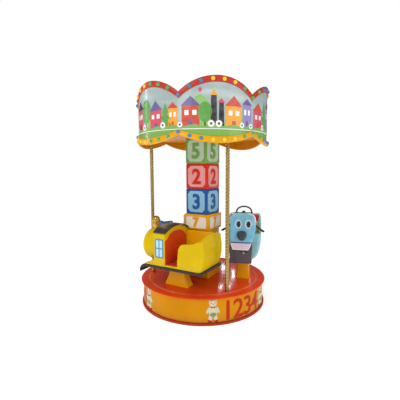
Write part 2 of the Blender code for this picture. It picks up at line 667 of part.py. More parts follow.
def satchel_head(stand):
    """Block head with a leaning face, nose, open mouth and the dark box below it."""
    blue = material("light_blue_gelcoat", (0.16, 0.38, 0.60), 0.3)
    grey = material("dark_grey_gelcoat", (0.09, 0.075, 0.08), 0.3)
    pink = material("pink_gelcoat", (0.68, 0.45, 0.55), 0.35)
    mid = SATCHEL_CENTRE
    back = HEAD_BACK - HEAD_SEAT
    box = [(back, BODY_BOTTOM), (BOX_CHIN[0], BODY_BOTTOM), (BOX_FRONT, BOX_CHIN[1]),
           (BOX_FRONT, MOUTH_LOW), (MOUTH_BACK, HEAD_LOW - GAP), (back, HEAD_LOW - GAP)]
    jaw = mid + BOX_SHIFT
    prism("satchel_box", box, jaw - BOX_HALF, jaw + BOX_HALF, grey, parent=stand)
    rise = HEAD_LOW - GAP - MOUTH_LOW
    normal = Vector((rise, 0.0, BOX_FRONT - MOUTH_BACK)).normalized()
    corners = [Vector((BOX_FRONT, jaw - MOUTH_LOW_HALF, MOUTH_LOW)),
               Vector((BOX_FRONT, jaw + MOUTH_LOW_HALF, MOUTH_LOW)),
               Vector((MOUTH_BACK, jaw + MOUTH_HIGH_HALF, HEAD_LOW - GAP)),
               Vector((MOUTH_BACK, jaw - MOUTH_HIGH_HALF, HEAD_LOW - GAP))]
    slope = (corners[3] - corners[0]).normalized() * MOUTH_TOP_GAP
    corners = [corners[0], corners[1], corners[2] - slope, corners[3] - slope]
    loft("satchel_mouth", [[point + normal * GAP for point in corners],
                           [point + normal * MOUTH_THICKNESS for point in corners]], pink, parent=stand)
    shoulder = arc((mid + HEAD_HALF - HEAD_CORNER, HEAD_TOP - HEAD_CORNER), HEAD_CORNER, 0.0, pi / 2, 4)
    outline = [(mid + HEAD_HALF - HEAD_OUTER_TAPER[0], HEAD_LOW),
               (mid + HEAD_HALF, HEAD_LOW + HEAD_OUTER_TAPER[1]), *shoulder]
    outline += [(2 * mid - across, level) for across, level in reversed(shoulder)]
    outline += [(mid - HEAD_HALF, HEAD_LOW + HEAD_INNER_TAPER[1]),
                (mid - HEAD_HALF + HEAD_INNER_TAPER[0], HEAD_LOW)]
    lean = (FACE_LOW - FACE_HIGH) / (HEAD_TOP - HEAD_LOW)
    front = [(FACE_LOW - lean * (level - HEAD_LOW), across, level) for across, level in outline]
    head = loft("satchel_head", [[(HEAD_BACK, across, level) for across, level in outline], front], blue,
                parent=stand)
    bevel = head.modifiers.new("Edges", "BEVEL")
    bevel.width = HEAD_ROUNDING
    bevel.segments = 3
    bevel.limit_method = "ANGLE"
    bevel.angle_limit = radians(50.0)
    tilt = atan(lean)
    face = Vector((FACE_LOW - lean * (NOSE_LEVEL - HEAD_LOW), mid, NOSE_LEVEL))
    face += Vector((cos(tilt), 0.0, sin(tilt))) * GAP
    turned("satchel_nose", NOSE_PROFILE, grey, steps=24, parent=stand, location=face,
           rotation=(0, pi / 2 - tilt, 0))
    foot = HEAD_TOP + GAP
    grip = mid + HANDLE_SHIFT
    loop = [(HANDLE_ALONG, grip + across, foot + HANDLE_STEM + up * HANDLE_FLATNESS)
            for across, up in arc((0.0, 0.0), HANDLE_HALF, pi, 0.0, 10)]
    loop = [(HANDLE_ALONG, grip - HANDLE_HALF, foot), *loop, (HANDLE_ALONG, grip + HANDLE_HALF, foot)]
    tube("satchel_handle", loop, HANDLE_RADIUS, grey, parent=stand)
    right = [(BAR_ALONG, mid + BAR_SHIFT + across, level) for across, level in BAR_ROUTE]
    left = [(BAR_ALONG, mid + BAR_SHIFT - across, level) for across, level in reversed(BAR_ROUTE)]
    tube("satchel_handlebar", right + left, BAR_RADIUS, grey, parent=stand)


def satchel():
    """The school-bag figure: a block head over a dark box, with a bucket seat behind."""
    stand = pivot("satchel_pivot", SATCHEL_ANGLE + pi, turntable)
    orange = material("orange_gelcoat", (0.58, 0.19, 0.004), 0.3)
    blue = material("light_blue_gelcoat", (0.16, 0.38, 0.60), 0.3)
    red = material("bright_red_gelcoat", (0.58, 0.025, 0.015), 0.3)
    mid = SATCHEL_CENTRE
    pedestal("satchel_pedestal", (0.0, mid), *SATCHEL_PEDESTAL, orange, stand)
    satchel_head(stand)

    # Bucket seat, wider towards the top, open at the front
    rings = []
    for level, half, rear in SEAT_TUB_LEVELS:
        outline = rounded_rectangle((rear, mid - half), (HEAD_BACK - HEAD_SEAT - GAP, mid + half),
                                    SEAT_TUB_CORNER)
        rings.append([(x, y, level) for x, y in outline])
    tub = loft("satchel_seat_tub", rings, blue, parent=stand)
    rings = []
    for level, half, rear in SEAT_HOLLOW_LEVELS:
        outline = rounded_rectangle((rear, mid - half), (SEAT_HOLLOW_FRONT, mid + half),
                                    SEAT_HOLLOW_CORNER)
        rings.append([(x, y, level) for x, y in outline])
    hollow = loft("satchel_hollow", rings, None, parent=stand)
    boolean(tub, hollow)
    above = 1.20
    ahead, behind, aside = 0.30, -0.40, 0.30
    over = prism("satchel_over", [(ahead, SEAT_SIDE_LINE[0][1]), *SEAT_SIDE_LINE, (behind, SEAT_BACK_TOP),
                                  (behind, above), (ahead, above)], mid - aside, mid + aside, None,
                 parent=stand)
    boolean(tub, over)
    rear, front, half = SEAT_PAD
    block("satchel_seat", (rear, mid - half, SEAT_LOW + GAP), (front, mid + half, SEAT_TOP), red,
          SEAT_PAD_ROUNDING, parent=stand)

    # Backrest pad, lying on the tub's inner back wall
    rings = []
    for level, half in BACK_PAD_LEVELS:
        rear = inner_wall(level, SEAT_HOLLOW_LEVELS) + 2 * GAP
        outline = rounded_rectangle((rear, mid - half), (rear + BACK_PAD_THICKNESS, mid + half),
                                    BACK_PAD_CORNER, 3)
        rings.append([(x, y, level) for x, y in outline])
    loft("satchel_backrest", rings, red, parent=stand)


def inner_wall(level, rows):
    """Where the tub's inner back wall stands at a height, between its stated rows."""
    for (low, _, rear_low), (high, _, rear_high) in zip(rows, rows[1:]):
        if low <= level <= high:
            return rear_low + (rear_high - rear_low) * (level - low) / (high - low)
    return rows[-1][2]


clear_scene()
carousel = make_collection("Carousel")
cutters = make_collection("Cutters")
turntable = pivot("turntable_pivot", 0.0)
base()
deck()
column()
crown()
poles()
seat_orange = material("orange_gelcoat", (0.58, 0.19, 0.004), 0.3)
train("train", TRAIN_ANGLE, 0.0, material("train_yellow_gelcoat", (0.74, 0.50, 0.0), 0.25), seat_orange,
      YELLOW_SIDE, ROOF_OVERHANG)
train("blue_train", BLUE_TRAIN_ANGLE, BLUE_TRAIN_OUT,
      material("train_blue_gelcoat", (0.03, 0.13, 0.38), 0.25), seat_orange, BLUE_SIDE,
      BLUE_ROOF_OVERHANG)
satchel()
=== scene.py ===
"""Looks of the coin-ride carousel: gelcoat finishes, lamps, painted frieze, twisted poles and the
three riding figures. Metres, +Z up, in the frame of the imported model. Angles round the axis are
measured from -Y towards +X."""
from math import atan, cos, pi, radians, sin, sqrt, tau

import bmesh
import bpy
from mathutils import Matrix, Vector


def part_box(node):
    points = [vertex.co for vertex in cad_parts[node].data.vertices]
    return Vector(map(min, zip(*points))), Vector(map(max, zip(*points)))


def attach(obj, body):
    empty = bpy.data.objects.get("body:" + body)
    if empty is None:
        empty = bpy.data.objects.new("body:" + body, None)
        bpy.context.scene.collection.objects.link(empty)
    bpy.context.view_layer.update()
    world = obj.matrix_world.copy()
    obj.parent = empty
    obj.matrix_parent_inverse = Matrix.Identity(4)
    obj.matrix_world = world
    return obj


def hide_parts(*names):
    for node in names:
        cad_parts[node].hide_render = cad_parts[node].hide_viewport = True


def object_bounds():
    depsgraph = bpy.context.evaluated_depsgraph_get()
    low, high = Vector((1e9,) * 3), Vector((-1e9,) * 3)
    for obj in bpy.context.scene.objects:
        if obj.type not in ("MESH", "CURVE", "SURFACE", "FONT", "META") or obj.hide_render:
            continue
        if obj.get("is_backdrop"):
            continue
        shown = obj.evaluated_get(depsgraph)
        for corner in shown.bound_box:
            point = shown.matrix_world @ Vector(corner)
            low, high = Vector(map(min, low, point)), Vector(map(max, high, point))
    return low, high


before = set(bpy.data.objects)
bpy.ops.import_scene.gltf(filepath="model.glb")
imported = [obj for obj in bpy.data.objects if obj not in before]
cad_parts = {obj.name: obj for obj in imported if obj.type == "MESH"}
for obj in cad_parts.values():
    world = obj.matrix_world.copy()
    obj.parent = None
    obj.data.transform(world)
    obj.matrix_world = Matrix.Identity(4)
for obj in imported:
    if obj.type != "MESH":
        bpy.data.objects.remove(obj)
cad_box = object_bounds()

# Driving sizes, as in the construction
ROUND_STEPS = 192
SKIRT_RADIUS = 0.688
DECK_LOW, DECK_HIGH = (corner.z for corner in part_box("deck"))
DECK_RADIUS = 0.713
DECK_STEP_RADIUS = 0.622
DECK_STEP = 0.003
COLUMN_ANGLE = radians(-29.6)
LOBES = 6
LOBE_HALF = pi / LOBES
CROWN_ANGLE = radians(-18.2)
CROWN_RADIUS = 0.705
CROWN_WALL = 0.008
CROWN_PEAK = 2.350
CROWN_CUSP = 2.212
CROWN_LOW_MID = 1.7485
CROWN_LOW_CUSP = 1.829
TRIM_HEIGHT = 0.058
LOW_TRIM_MID = 0.062
LOW_TRIM_CUSP = 0.044
BEAD_LEVEL = 1.878
TRAIN_ANGLE = radians(-29.6)
BLUE_TRAIN_ANGLE = radians(-149.6)
BLUE_TRAIN_OUT = 0.028
SATCHEL_ANGLE = radians(79.0)
TRAIN_CENTRE = 0.4205
TRAIN_HALF_WIDTH = 0.2145
TRAIN_WALL = 0.024
TRAIN_REAR = -0.335
TRAIN_FLOOR_TOP = 0.5453
CAB_FRONT = 0.222
BOILER_RADIUS = 0.168
BOILER_LEVEL = 0.704
CHIMNEY_ALONG = 0.352
SATCHEL_CENTRE = 0.470
HEAD_LOW = 0.720
HEAD_TOP = 1.035
BACK_PAD_SPLIT = 0.898
FACE_LOW = 0.215
FACE_HIGH = 0.150
BODY_BOTTOM = 0.497

Z_AXIS = Vector((0.0, 0.0, 1.0))


def at(angle, radius, level):
    """A point from its angle round the axis, its distance from it and its height."""
    return Vector((radius * sin(angle), -radius * cos(angle), level))


def stand_frame(angle, out=0.0):
    """Frame of a riding figure: x along its heading, y away from the axis."""
    return Matrix.Translation(at(angle, out, 0.0)) @ Matrix.Rotation(angle + pi, 4, "Z")


TRAIN_FRAME = stand_frame(TRAIN_ANGLE)
BLUE_FRAME = stand_frame(BLUE_TRAIN_ANGLE, BLUE_TRAIN_OUT)
SATCHEL_FRAME = stand_frame(SATCHEL_ANGLE)
COLUMN_FRAME = Matrix.Rotation(COLUMN_ANGLE, 4, "Z")


def srgb(red, green, blue):
    """Screen colour 0 to 255 as the linear colour that shaders use."""
    return tuple(((v / 255 + 0.055) / 1.055) ** 2.4 if v > 10 else v / 3295 for v in (red, green, blue))


# Materials


def add_node(tree, kind, values=None, **settings):
    """A node with its settings and the values of its inputs."""
    made = tree.nodes.new(kind)
    for label, value in settings.items():
        setattr(made, label, value)
    for label, value in (values or {}).items():
        made.inputs[label].default_value = value
    return made


def object_noise(tree, scale, detail=2.0, stretch=(1.0, 1.0, 1.0)):
    """Noise on the object's own coordinates."""
    place = add_node(tree, "ShaderNodeTexCoord")
    turn = add_node(tree, "ShaderNodeMapping", {"Scale": stretch})
    made = add_node(tree, "ShaderNodeTexNoise", {"Scale": scale, "Detail": detail})
    tree.links.new(place.outputs["Object"], turn.inputs["Vector"])
    tree.links.new(turn.outputs["Vector"], made.inputs["Vector"])
    return made.outputs["Fac"]


def ranged(tree, source, low, high, new_low, new_high):
    """A value carried from one range to another and kept inside it."""
    made = add_node(tree, "ShaderNodeMapRange", {"From Min": low, "From Max": high,
                                                 "To Min": new_low, "To Max": new_high})
    tree.links.new(source, made.inputs["Value"])
    return made.outputs["Result"]


def calculation(tree, operation, first, second, kind="ShaderNodeMath"):
    """One sum of two values or sockets."""
    made = add_node(tree, kind, operation=operation)
    for index, value in enumerate((first, second)):
        if isinstance(value, bpy.types.NodeSocket):
            tree.links.new(value, made.inputs[index])
        else:
            made.inputs[index].default_value = value
    return made.outputs[0]


MIX_A, MIX_B, MIX_COLOUR = 6, 7, 2


def mixed(tree, share, first, second, mode="MIX"):
    """Two colours mixed by a share; each is a colour or the socket that gives one."""
    made = add_node(tree, "ShaderNodeMix", data_type="RGBA", blend_type=mode)
    if isinstance(share, float):
        made.inputs[0].default_value = share
    else:
        tree.links.new(share, made.inputs[0])
    for index, value in ((MIX_A, first), (MIX_B, second)):
        if isinstance(value, tuple):
            made.inputs[index].default_value = (*value[:3], 1.0)
        else:
            tree.links.new(value, made.inputs[index])
    return made.outputs[MIX_COLOUR]


def level_share(tree, low, high):
    """0 below one height, 1 above another."""
    place = add_node(tree, "ShaderNodeTexCoord")
    parts = add_node(tree, "ShaderNodeSeparateXYZ")
    tree.links.new(place.outputs["Object"], parts.inputs["Vector"])
    return ranged(tree, parts.outputs["Z"], low, high, 0.0, 1.0)


def bumped(tree, shader, waves=9.0, wave_height=0.0028, peel=260.0, peel_height=0.00025):
    """Slow waves of a hand-laid mould and the fine skin of its gelcoat."""
    slow = add_node(tree, "ShaderNodeBump", {"Strength": 0.35, "Distance": wave_height})
    fine = add_node(tree, "ShaderNodeBump", {"Strength": 0.30, "Distance": peel_height})
    tree.links.new(object_noise(tree, waves), slow.inputs["Height"])
    tree.links.new(object_noise(tree, peel), fine.inputs["Height"])
    tree.links.new(slow.outputs["Normal"], fine.inputs["Normal"])
    tree.links.new(fine.outputs["Normal"], shader.inputs["Normal"])
    tree.links.new(slow.outputs["Normal"], shader.inputs["Coat Normal"])


def finish(name, coat=0.0, metallic=0.0, specular=0.5, coat_roughness=0.04):
    """An empty material with the values that are the same all over it."""
    made = bpy.data.materials.new(name)
    made.use_nodes = True
    shader = made.node_tree.nodes["Principled BSDF"]
    shader.inputs["Coat Weight"].default_value = coat
    shader.inputs["Coat Roughness"].default_value = coat_roughness
    shader.inputs["Metallic"].default_value = metallic
    shader.inputs["Specular IOR Level"].default_value = specular
    return made, made.node_tree, shader


def gelcoat(name, colour, darker_below=None, roughness=(0.24, 0.36), coat=0.08, specular=0.16, waves=9.0,
            change=None):
    """Moulded glass fibre: uneven pigment, waves, fine skin; darker in grainy patches below a height."""
    made, tree, shader = finish(name, coat, specular=specular)
    light = tuple(min(1.0, v * 1.05 + 0.001) for v in colour)
    dark = tuple(v * 0.94 for v in colour)
    tone = mixed(tree, ranged(tree, object_noise(tree, 3.1, 4.0), 0.35, 0.65, 0.0, 1.0), dark, light)
    if change:
        tone = change(tree, tone)
    # Darker in grainy patches towards the bottom.
    if darker_below:
        grain = object_noise(tree, 26.0, 5.0)
        height = add_node(tree, "ShaderNodeMath", operation="MULTIPLY")
        tree.links.new(ranged(tree, level_share(tree, darker_below[0], darker_below[1]), 0.0, 1.0, 0.55, 0.0),
                       height.inputs[0])
        tree.links.new(ranged(tree, grain, 0.35, 0.7, 0.2, 1.0), height.inputs[1])
        tone = mixed(tree, height.outputs[0], tone, tuple(v * 0.35 + 0.05 for v in colour))
    tree.links.new(tone, shader.inputs["Base Color"])
    tree.links.new(ranged(tree, object_noise(tree, 17.0, 3.0), 0.3, 0.7, *roughness),
                   shader.inputs["Roughness"])
    bumped(tree, shader, waves)
    return made


def sky_finish(green):
    """Pale sky with drawn-out clouds; below the bead the panel is green."""
    def clouds(tree, tone):
        wisps = object_noise(tree, 2.6, 6.0, (1.0, 1.0, 3.4))
        cloudy = mixed(tree, ranged(tree, wisps, 0.50, 0.72, 0.0, 0.50), tone, srgb(216, 224, 220))
        return mixed(tree, level_share(tree, BEAD_LEVEL - 0.001, BEAD_LEVEL), green, cloudy)
    return gelcoat("sky_gelcoat", srgb(164, 181, 181), change=clouds, waves=4.0, roughness=(0.16, 0.28),
                   coat=0.25)


def painted_finish(name, attribute, coat=0.12, glow=0.0, specular=0.18, worn_share=0.05):
    """Paint whose colour is kept in an attribute of the mesh."""
    made, tree, shader = finish(name, coat, specular=specular)
    colour = add_node(tree, "ShaderNodeAttribute", attribute_name=attribute).outputs["Color"]
    wear_and_sheen_patches = mixed(tree, ranged(tree, object_noise(tree, 21.0, 5.0), 0.35, 0.75, 0.0, worn_share), colour,
                 (0.75, 0.75, 0.72))
    tree.links.new(wear_and_sheen_patches, shader.inputs["Base Color"])
    tree.links.new(ranged(tree, object_noise(tree, 33.0), 0.3, 0.7, 0.25, 0.42), shader.inputs["Roughness"])
    if glow:
        tree.links.new(colour, shader.inputs["Emission Color"])
        shader.inputs["Emission Strength"].default_value = glow
    bumped(tree, shader, waves=14.0, wave_height=0.0015)
    return made


def brass_finish():
    """Lacquered brass with dark grooves, rubbed bright on the crests."""
    made, tree, shader = finish("twisted_brass", coat=0.1, metallic=1.0)
    crest = add_node(tree, "ShaderNodeAttribute", attribute_name="crest").outputs["Fac"]
    deep = mixed(tree, object_noise(tree, 14.0, 4.0), srgb(146, 122, 64), srgb(162, 138, 80))
    rubbed = mixed(tree, object_noise(tree, 30.0, 3.0), srgb(194, 168, 100), srgb(214, 188, 118))
    tree.links.new(mixed(tree, crest, deep, rubbed), shader.inputs["Base Color"])
    tree.links.new(ranged(tree, object_noise(tree, 55.0, 4.0), 0.3, 0.7, 0.22, 0.42), shader.inputs["Roughness"])
    bumped(tree, shader, waves=30.0, wave_height=0.001)
    return made


def metal_finish(name, colour, roughness):
    """Bare or painted metal with a fine brushed grain."""
    made, tree, shader = finish(name, coat=0.1, metallic=0.85)
    tone = mixed(tree, object_noise(tree, 18.0, 4.0), tuple(v * 0.8 for v in colour), colour)
    tree.links.new(tone, shader.inputs["Base Color"])
    tree.links.new(ranged(tree, object_noise(tree, 90.0, 2.0, (1.0, 1.0, 6.0)), 0.3, 0.7, roughness - 0.08,
                          roughness + 0.1), shader.inputs["Roughness"])
    bumped(tree, shader, waves=22.0, wave_height=0.001)
    return made


def rubber_finish(name, colour, roughness=(0.38, 0.58)):
    """Dark edge rubber, grey with handling along its worn patches."""
    made, tree, shader = finish(name, coat=0.08, specular=0.25)
    scuffs = ranged(tree, object_noise(tree, 24.0, 6.0), 0.45, 0.75, 0.0, 0.5)
    tree.links.new(mixed(tree, scuffs, colour, tuple(v + 0.04 for v in colour)), shader.inputs["Base Color"])
    tree.links.new(ranged(tree, object_noise(tree, 40.0, 3.0), 0.3, 0.7, *roughness),
                   shader.inputs["Roughness"])
    bumped(tree, shader, waves=16.0, wave_height=0.002, peel=420.0)
    return made


def painted_step_reflection(tree, tone):
    """The low round step of the deck, painted paler in broken patches: a painted reflection along the step."""
    place = add_node(tree, "ShaderNodeTexCoord")
    flat = add_node(tree, "ShaderNodeVectorMath", operation="MULTIPLY")
    flat.inputs[1].default_value = (1.0, 1.0, 0.0)
    reach = add_node(tree, "ShaderNodeVectorMath", operation="LENGTH")
    tree.links.new(place.outputs["Object"], flat.inputs[0])
    tree.links.new(flat.outputs[0], reach.inputs[0])
    inner = ranged(tree, reach.outputs["Value"], DECK_STEP_RADIUS - 0.020, DECK_STEP_RADIUS, 0.0, 1.0)
    outer = ranged(tree, reach.outputs["Value"], DECK_STEP_RADIUS, DECK_STEP_RADIUS + 0.016, 1.0, 0.0)
    band = calculation(tree, "MULTIPLY", inner, outer)
    # The pale ring is a painted reflection, broken into patches.
    wear_and_sheen_patches = ranged(tree, object_noise(tree, 3.2, 3.0), 0.40, 0.60, 0.08, 0.55)
    return mixed(tree, calculation(tree, "MULTIPLY", band, wear_and_sheen_patches), tone, srgb(232, 150, 118))


def painted_roof_highlights(tree, tone):
    """Painted highlights: light caught along the top of a glossy roof, painted into its colour."""
    shine = object_noise(tree, 8.0, 3.0, (1.0, 1.0, 2.2))
    upper = ranged(tree, level_share(tree, 0.906, 0.926), 0.0, 1.0, 0.0, 1.0)
    share = calculation(tree, "MULTIPLY", ranged(tree, shine, 0.50, 0.60, 0.0, 0.52), upper)
    return mixed(tree, share, tone, srgb(190, 188, 160))


def mottled_with_painted_sheen(tree, tone):
    """Paint mottled darker and paler in patches, the pale patches a painted sheen; greener towards the top edge.
    """
    patches = mixed(tree, ranged(tree, object_noise(tree, 13.0, 4.0), 0.38, 0.62, 0.0, 0.55), tone,
                    srgb(104, 164, 204))
    pale = mixed(tree, ranged(tree, object_noise(tree, 9.0, 3.0, (1.0, 1.0, 0.5)), 0.56, 0.70, 0.0, 0.5),
                 patches, srgb(160, 208, 214))
    return mixed(tree, level_share(tree, HEAD_TOP - 0.022, HEAD_TOP - 0.008), pale, srgb(150, 204, 190))


def painted_sheen_streaks(tree, tone):
    """Long pale streaks down the bucket's side: painted highlights."""
    marks = ranged(tree, object_noise(tree, 11.0, 4.0, (1.0, 1.0, 0.3)), 0.52, 0.68, 0.0, 0.55)
    return mixed(tree, marks, tone, srgb(176, 222, 226))


def pale_below(tree, tone):
    """The lower half of the backrest is the colour of the lining."""
    return mixed(tree, level_share(tree, BACK_PAD_SPLIT - 0.001, BACK_PAD_SPLIT), srgb(214, 222, 200), tone)


GREEN = srgb(128, 176, 88)
LOOKS = {
    # The deck's pale step ring is a painted reflection.
    "red": gelcoat("deck_red_gelcoat", srgb(238, 72, 24), roughness=(0.10, 0.18), coat=0.18, waves=5.0,
                   change=painted_step_reflection),
    "plate": gelcoat("base_red_gelcoat", srgb(178, 46, 20), darker_below=(0.0, 0.03)),
    "amber": gelcoat("amber_gelcoat", srgb(212, 140, 0), darker_below=(0.02, 0.10), waves=5.0,
                     specular=0.07, coat=0.03),
    "orange": gelcoat("orange_gelcoat", srgb(242, 168, 0), specular=0.10),
    "lining": gelcoat("lining_gelcoat", srgb(246, 184, 4)),
    "green": gelcoat("green_gelcoat", srgb(118, 170, 82)),
    "back_red": gelcoat("back_red_gelcoat", srgb(206, 44, 28), change=pale_below),
    "bright_red": gelcoat("bright_red_gelcoat", srgb(206, 44, 28)),
    "crown_red": gelcoat("crown_red_gelcoat", srgb(188, 60, 46)),
    "bulkhead_red": gelcoat("bulkhead_red_gelcoat", srgb(208, 66, 26)),
    "blue": gelcoat("blue_gelcoat", srgb(36, 86, 156)),
    "block_yellow": gelcoat("block_yellow_gelcoat", srgb(236, 168, 22)),
    "pale_green": gelcoat("pale_green_gelcoat", srgb(186, 218, 196)),
    "pale_red": gelcoat("pale_red_gelcoat", srgb(228, 156, 154)),
    "pale_blue": gelcoat("pale_blue_gelcoat", srgb(136, 188, 212)),
    "cream": gelcoat("cream_gelcoat", srgb(246, 242, 228)),
    "yellow": gelcoat("trim_yellow_gelcoat", srgb(232, 168, 18)),
    "inner_yellow": gelcoat("inner_yellow_gelcoat", srgb(214, 140, 10), specular=0.10),
    "white": gelcoat("white_gelcoat", srgb(240, 240, 234)),
    "train_yellow": gelcoat("train_yellow_gelcoat", srgb(220, 186, 0), darker_below=(0.48, 0.60),
                            specular=0.10, coat=0.06),
    "train_blue": gelcoat("train_blue_gelcoat", srgb(24, 88, 168), darker_below=(0.48, 0.60)),
    # The roof's pale streaks are painted highlights.
    "roof": gelcoat("roof_brown_gelcoat", srgb(66, 58, 50), roughness=(0.12, 0.24), coat=0.6,
                    change=painted_roof_highlights),
    # The head's pale patches are a painted sheen.
    "bag_blue": gelcoat("bag_blue_gelcoat", srgb(126, 188, 214), change=mottled_with_painted_sheen),
    # The bucket's pale streaks are painted highlights.
    "bag_teal": gelcoat("bag_teal_gelcoat", srgb(146, 200, 208), change=painted_sheen_streaks),
    "bag_lining": gelcoat("bag_lining_gelcoat", srgb(240, 244, 222)),
    "faded_red": gelcoat("faded_red_gelcoat", srgb(206, 110, 108)),
    "bag_dark": gelcoat("bag_dark_gelcoat", srgb(78, 68, 74), coat=0.2),
    "bag_pink": gelcoat("bag_pink_gelcoat", srgb(222, 200, 220)),
    "window_blue": gelcoat("window_blue_paint", srgb(62, 146, 186)),
    "pane": gelcoat("pane_glass", srgb(186, 222, 232), roughness=(0.05, 0.1), coat=1.0),
    "black": rubber_finish("edge_rubber", srgb(54, 50, 42)),
    "grip": rubber_finish("grip_rubber", srgb(52, 50, 54)),
    "pupil": rubber_finish("pupil_black", srgb(40, 46, 48), (0.12, 0.2)),
    "nose": rubber_finish("nose_grey", srgb(62, 68, 76), (0.2, 0.34)),
    "gold": metal_finish("gold_paint", srgb(226, 184, 84), 0.34),
    "steel": metal_finish("grey_steel", srgb(150, 152, 156), 0.4),
    "chrome": metal_finish("latch_chrome", srgb(224, 224, 226), 0.16),
    "brass": brass_finish(),
    "frieze": painted_finish("frieze_paint", "paint", worn_share=0.10),
    "relief": painted_finish("relief_paint", "paint", coat=0.05, specular=0.10, worn_share=0.015),
    "lamps": painted_finish("lamp_caps", "cap_colour", coat=1.0, glow=0.12),
    "sky": sky_finish(GREEN),
}


# Meshes


def linked(name, data):
    """A new object of the scene."""
    item = bpy.data.objects.new(name, data)
    bpy.context.scene.collection.objects.link(item)
    return item


def baked(item):
    """The mesh of an object with its modifiers; the object itself is taken away."""
    graph = bpy.context.evaluated_depsgraph_get()
    mesh = bpy.data.meshes.new_from_object(item.evaluated_get(graph))
    bpy.data.objects.remove(item)
    return mesh


def with_modifiers(mesh, *steps):
    """A mesh put through modifiers, each given as its kind and its settings."""
    item = linked("work", mesh)
    for kind, settings in steps:
        modifier = item.modifiers.new(kind, kind)
        for label, value in settings.items():
            setattr(modifier, label, value)
    return baked(item)


def mesh_of(shape, name="work", doubles=0.00001):
    """A bmesh as mesh data, merged and with its faces pointing out."""
    if doubles:
        bmesh.ops.remove_doubles(shape, verts=shape.verts, dist=doubles)
    bmesh.ops.recalc_face_normals(shape, faces=shape.faces)
    mesh = bpy.data.meshes.new(name)
    shape.to_mesh(mesh)
    shape.free()
    return mesh


def piece(name, mesh, look, slot, body="turntable", replaces=(), sharp=38.0):
    """A finished mesh as one piece that rides on a body and may stand for nodes."""
    item = linked(name, mesh)
    for number, key in enumerate((look,) if isinstance(look, str) else look):
        if number < len(mesh.materials):
            mesh.materials[number] = LOOKS[key]
        else:
            mesh.materials.append(LOOKS[key])
    mesh.shade_smooth()
    mesh.set_sharp_from_angle(angle=radians(sharp))
    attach(item, body)
    if replaces:
        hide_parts(*replaces)
    return item


def dress(node, look):
    """A node of the construction keeps its shape and takes a finish."""
    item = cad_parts[node]
    item.data.materials.clear()
    item.data.materials.append(LOOKS[look])


def joined(meshes):
    """Several meshes as one; material numbers are kept."""
    shape = bmesh.new()
    for mesh in meshes:
        shape.from_mesh(mesh)
    return mesh_of(shape, doubles=0.0)


def moved(mesh, matrix):
    """A mesh set in its place."""
    mesh.transform(matrix)
    return mesh


def ring_points(radius, level, steps):
    """Points of a level circle."""
    return [(radius * cos(tau * step / steps), radius * sin(tau * step / steps), level)
            for step in range(steps)]


def skinned(rings, closed_path=False, capped=True):
    """A skin through rings of equal length, each running the same way round."""
    shape = bmesh.new()
    rows = [[shape.verts.new(point) for point in ring] for ring in rings]
    pairs = list(zip(rows, rows[1:]))
    if closed_path:
        pairs.append((rows[-1], rows[0]))
    count = len(rows[0])
    for first, second in pairs:
        for index in range(count):
            following = (index + 1) % count
            shape.faces.new((first[index], first[following], second[following], second[index]))
    if capped and not closed_path:
        shape.faces.new(list(reversed(rows[0])))
        shape.faces.new(rows[-1])
    return mesh_of(shape)


def lathe(profile, steps=ROUND_STEPS, closed=False):
    """A round shape; its profile of radius and level runs from the axis to the axis, or is a loop."""
    tiny = 0.00002
    rings = [ring_points(max(radius, tiny), level, steps) for radius, level in profile]
    shape = bmesh.new()
    shape.from_mesh(skinned(rings, closed_path=closed))
    for radius, level in profile if not closed else ():
        if radius < tiny:
            middle = [vert for vert in shape.verts
                      if vert.co.xy.length < 2 * tiny and abs(vert.co.z - level) < tiny]
            bmesh.ops.pointmerge(shape, verts=middle, merge_co=(0.0, 0.0, level))
    bmesh.ops.dissolve_degenerate(shape, edges=shape.edges, dist=tiny / 10)
    return mesh_of(shape)


def curve_points(centre, radius, start, end, steps):
    """Points on a circle from one angle to another; radius may be a pair."""
    across, up = radius if isinstance(radius, tuple) else (radius, radius)
    angles = [start + (end - start) * step / steps for step in range(steps + 1)]
    return [(centre[0] + across * cos(angle), centre[1] + up * sin(angle)) for angle in angles]


def oval(centre, radius, steps=28):
    """A closed oval outline."""
    return curve_points(centre, radius, 0.0, tau * (steps - 1) / steps, steps - 1)


def rounded_box(low, high, radius, steps=4):
    """Outline of a rectangle with round corners."""
    corners = ((high[0] - radius, low[1] + radius, -pi / 2), (high[0] - radius, high[1] - radius, 0.0),
               (low[0] + radius, high[1] - radius, pi / 2), (low[0] + radius, low[1] + radius, pi))
    points = []
    for across, up, start in corners:
        points += curve_points((across, up), radius, start, start + pi / 2, steps)
    return points


def flat_curve(outlines):
    """A flat filled curve; an outline inside another is a hole."""
    curve = bpy.data.curves.new("outline", "CURVE")
    curve.dimensions = "2D"
    curve.fill_mode = "FRONT"
    for outline in outlines:
        spline = curve.splines.new("POLY")
        spline.points.add(len(outline) - 1)
        for point, (across, up) in zip(spline.points, outline):
            point.co = (across, up, 0.0, 1.0)
        spline.use_cyclic_u = True
    return curve


def filled(*outlines):
    """A flat mesh between outlines."""
    return baked(linked("flat", flat_curve(outlines)))


def numeral(text, height, weight):
    """A plain numeral as a flat mesh, centred, of a given height and with thickened strokes."""
    curve = bpy.data.curves.new("numeral", "FONT")
    curve.body = text
    curve.fill_mode = "FRONT"
    curve.offset = weight
    curve.resolution_u = 6
    mesh = baked(linked("numeral", curve))
    spots = [vert.co for vert in mesh.vertices]
    low = Vector((min(p.x for p in spots), min(p.y for p in spots), 0.0))
    high = Vector((max(p.x for p in spots), max(p.y for p in spots), 0.0))
    size = height / (high.y - low.y)
    return moved(mesh, Matrix.Scale(size, 4) @ Matrix.Translation(-(low + high) / 2))


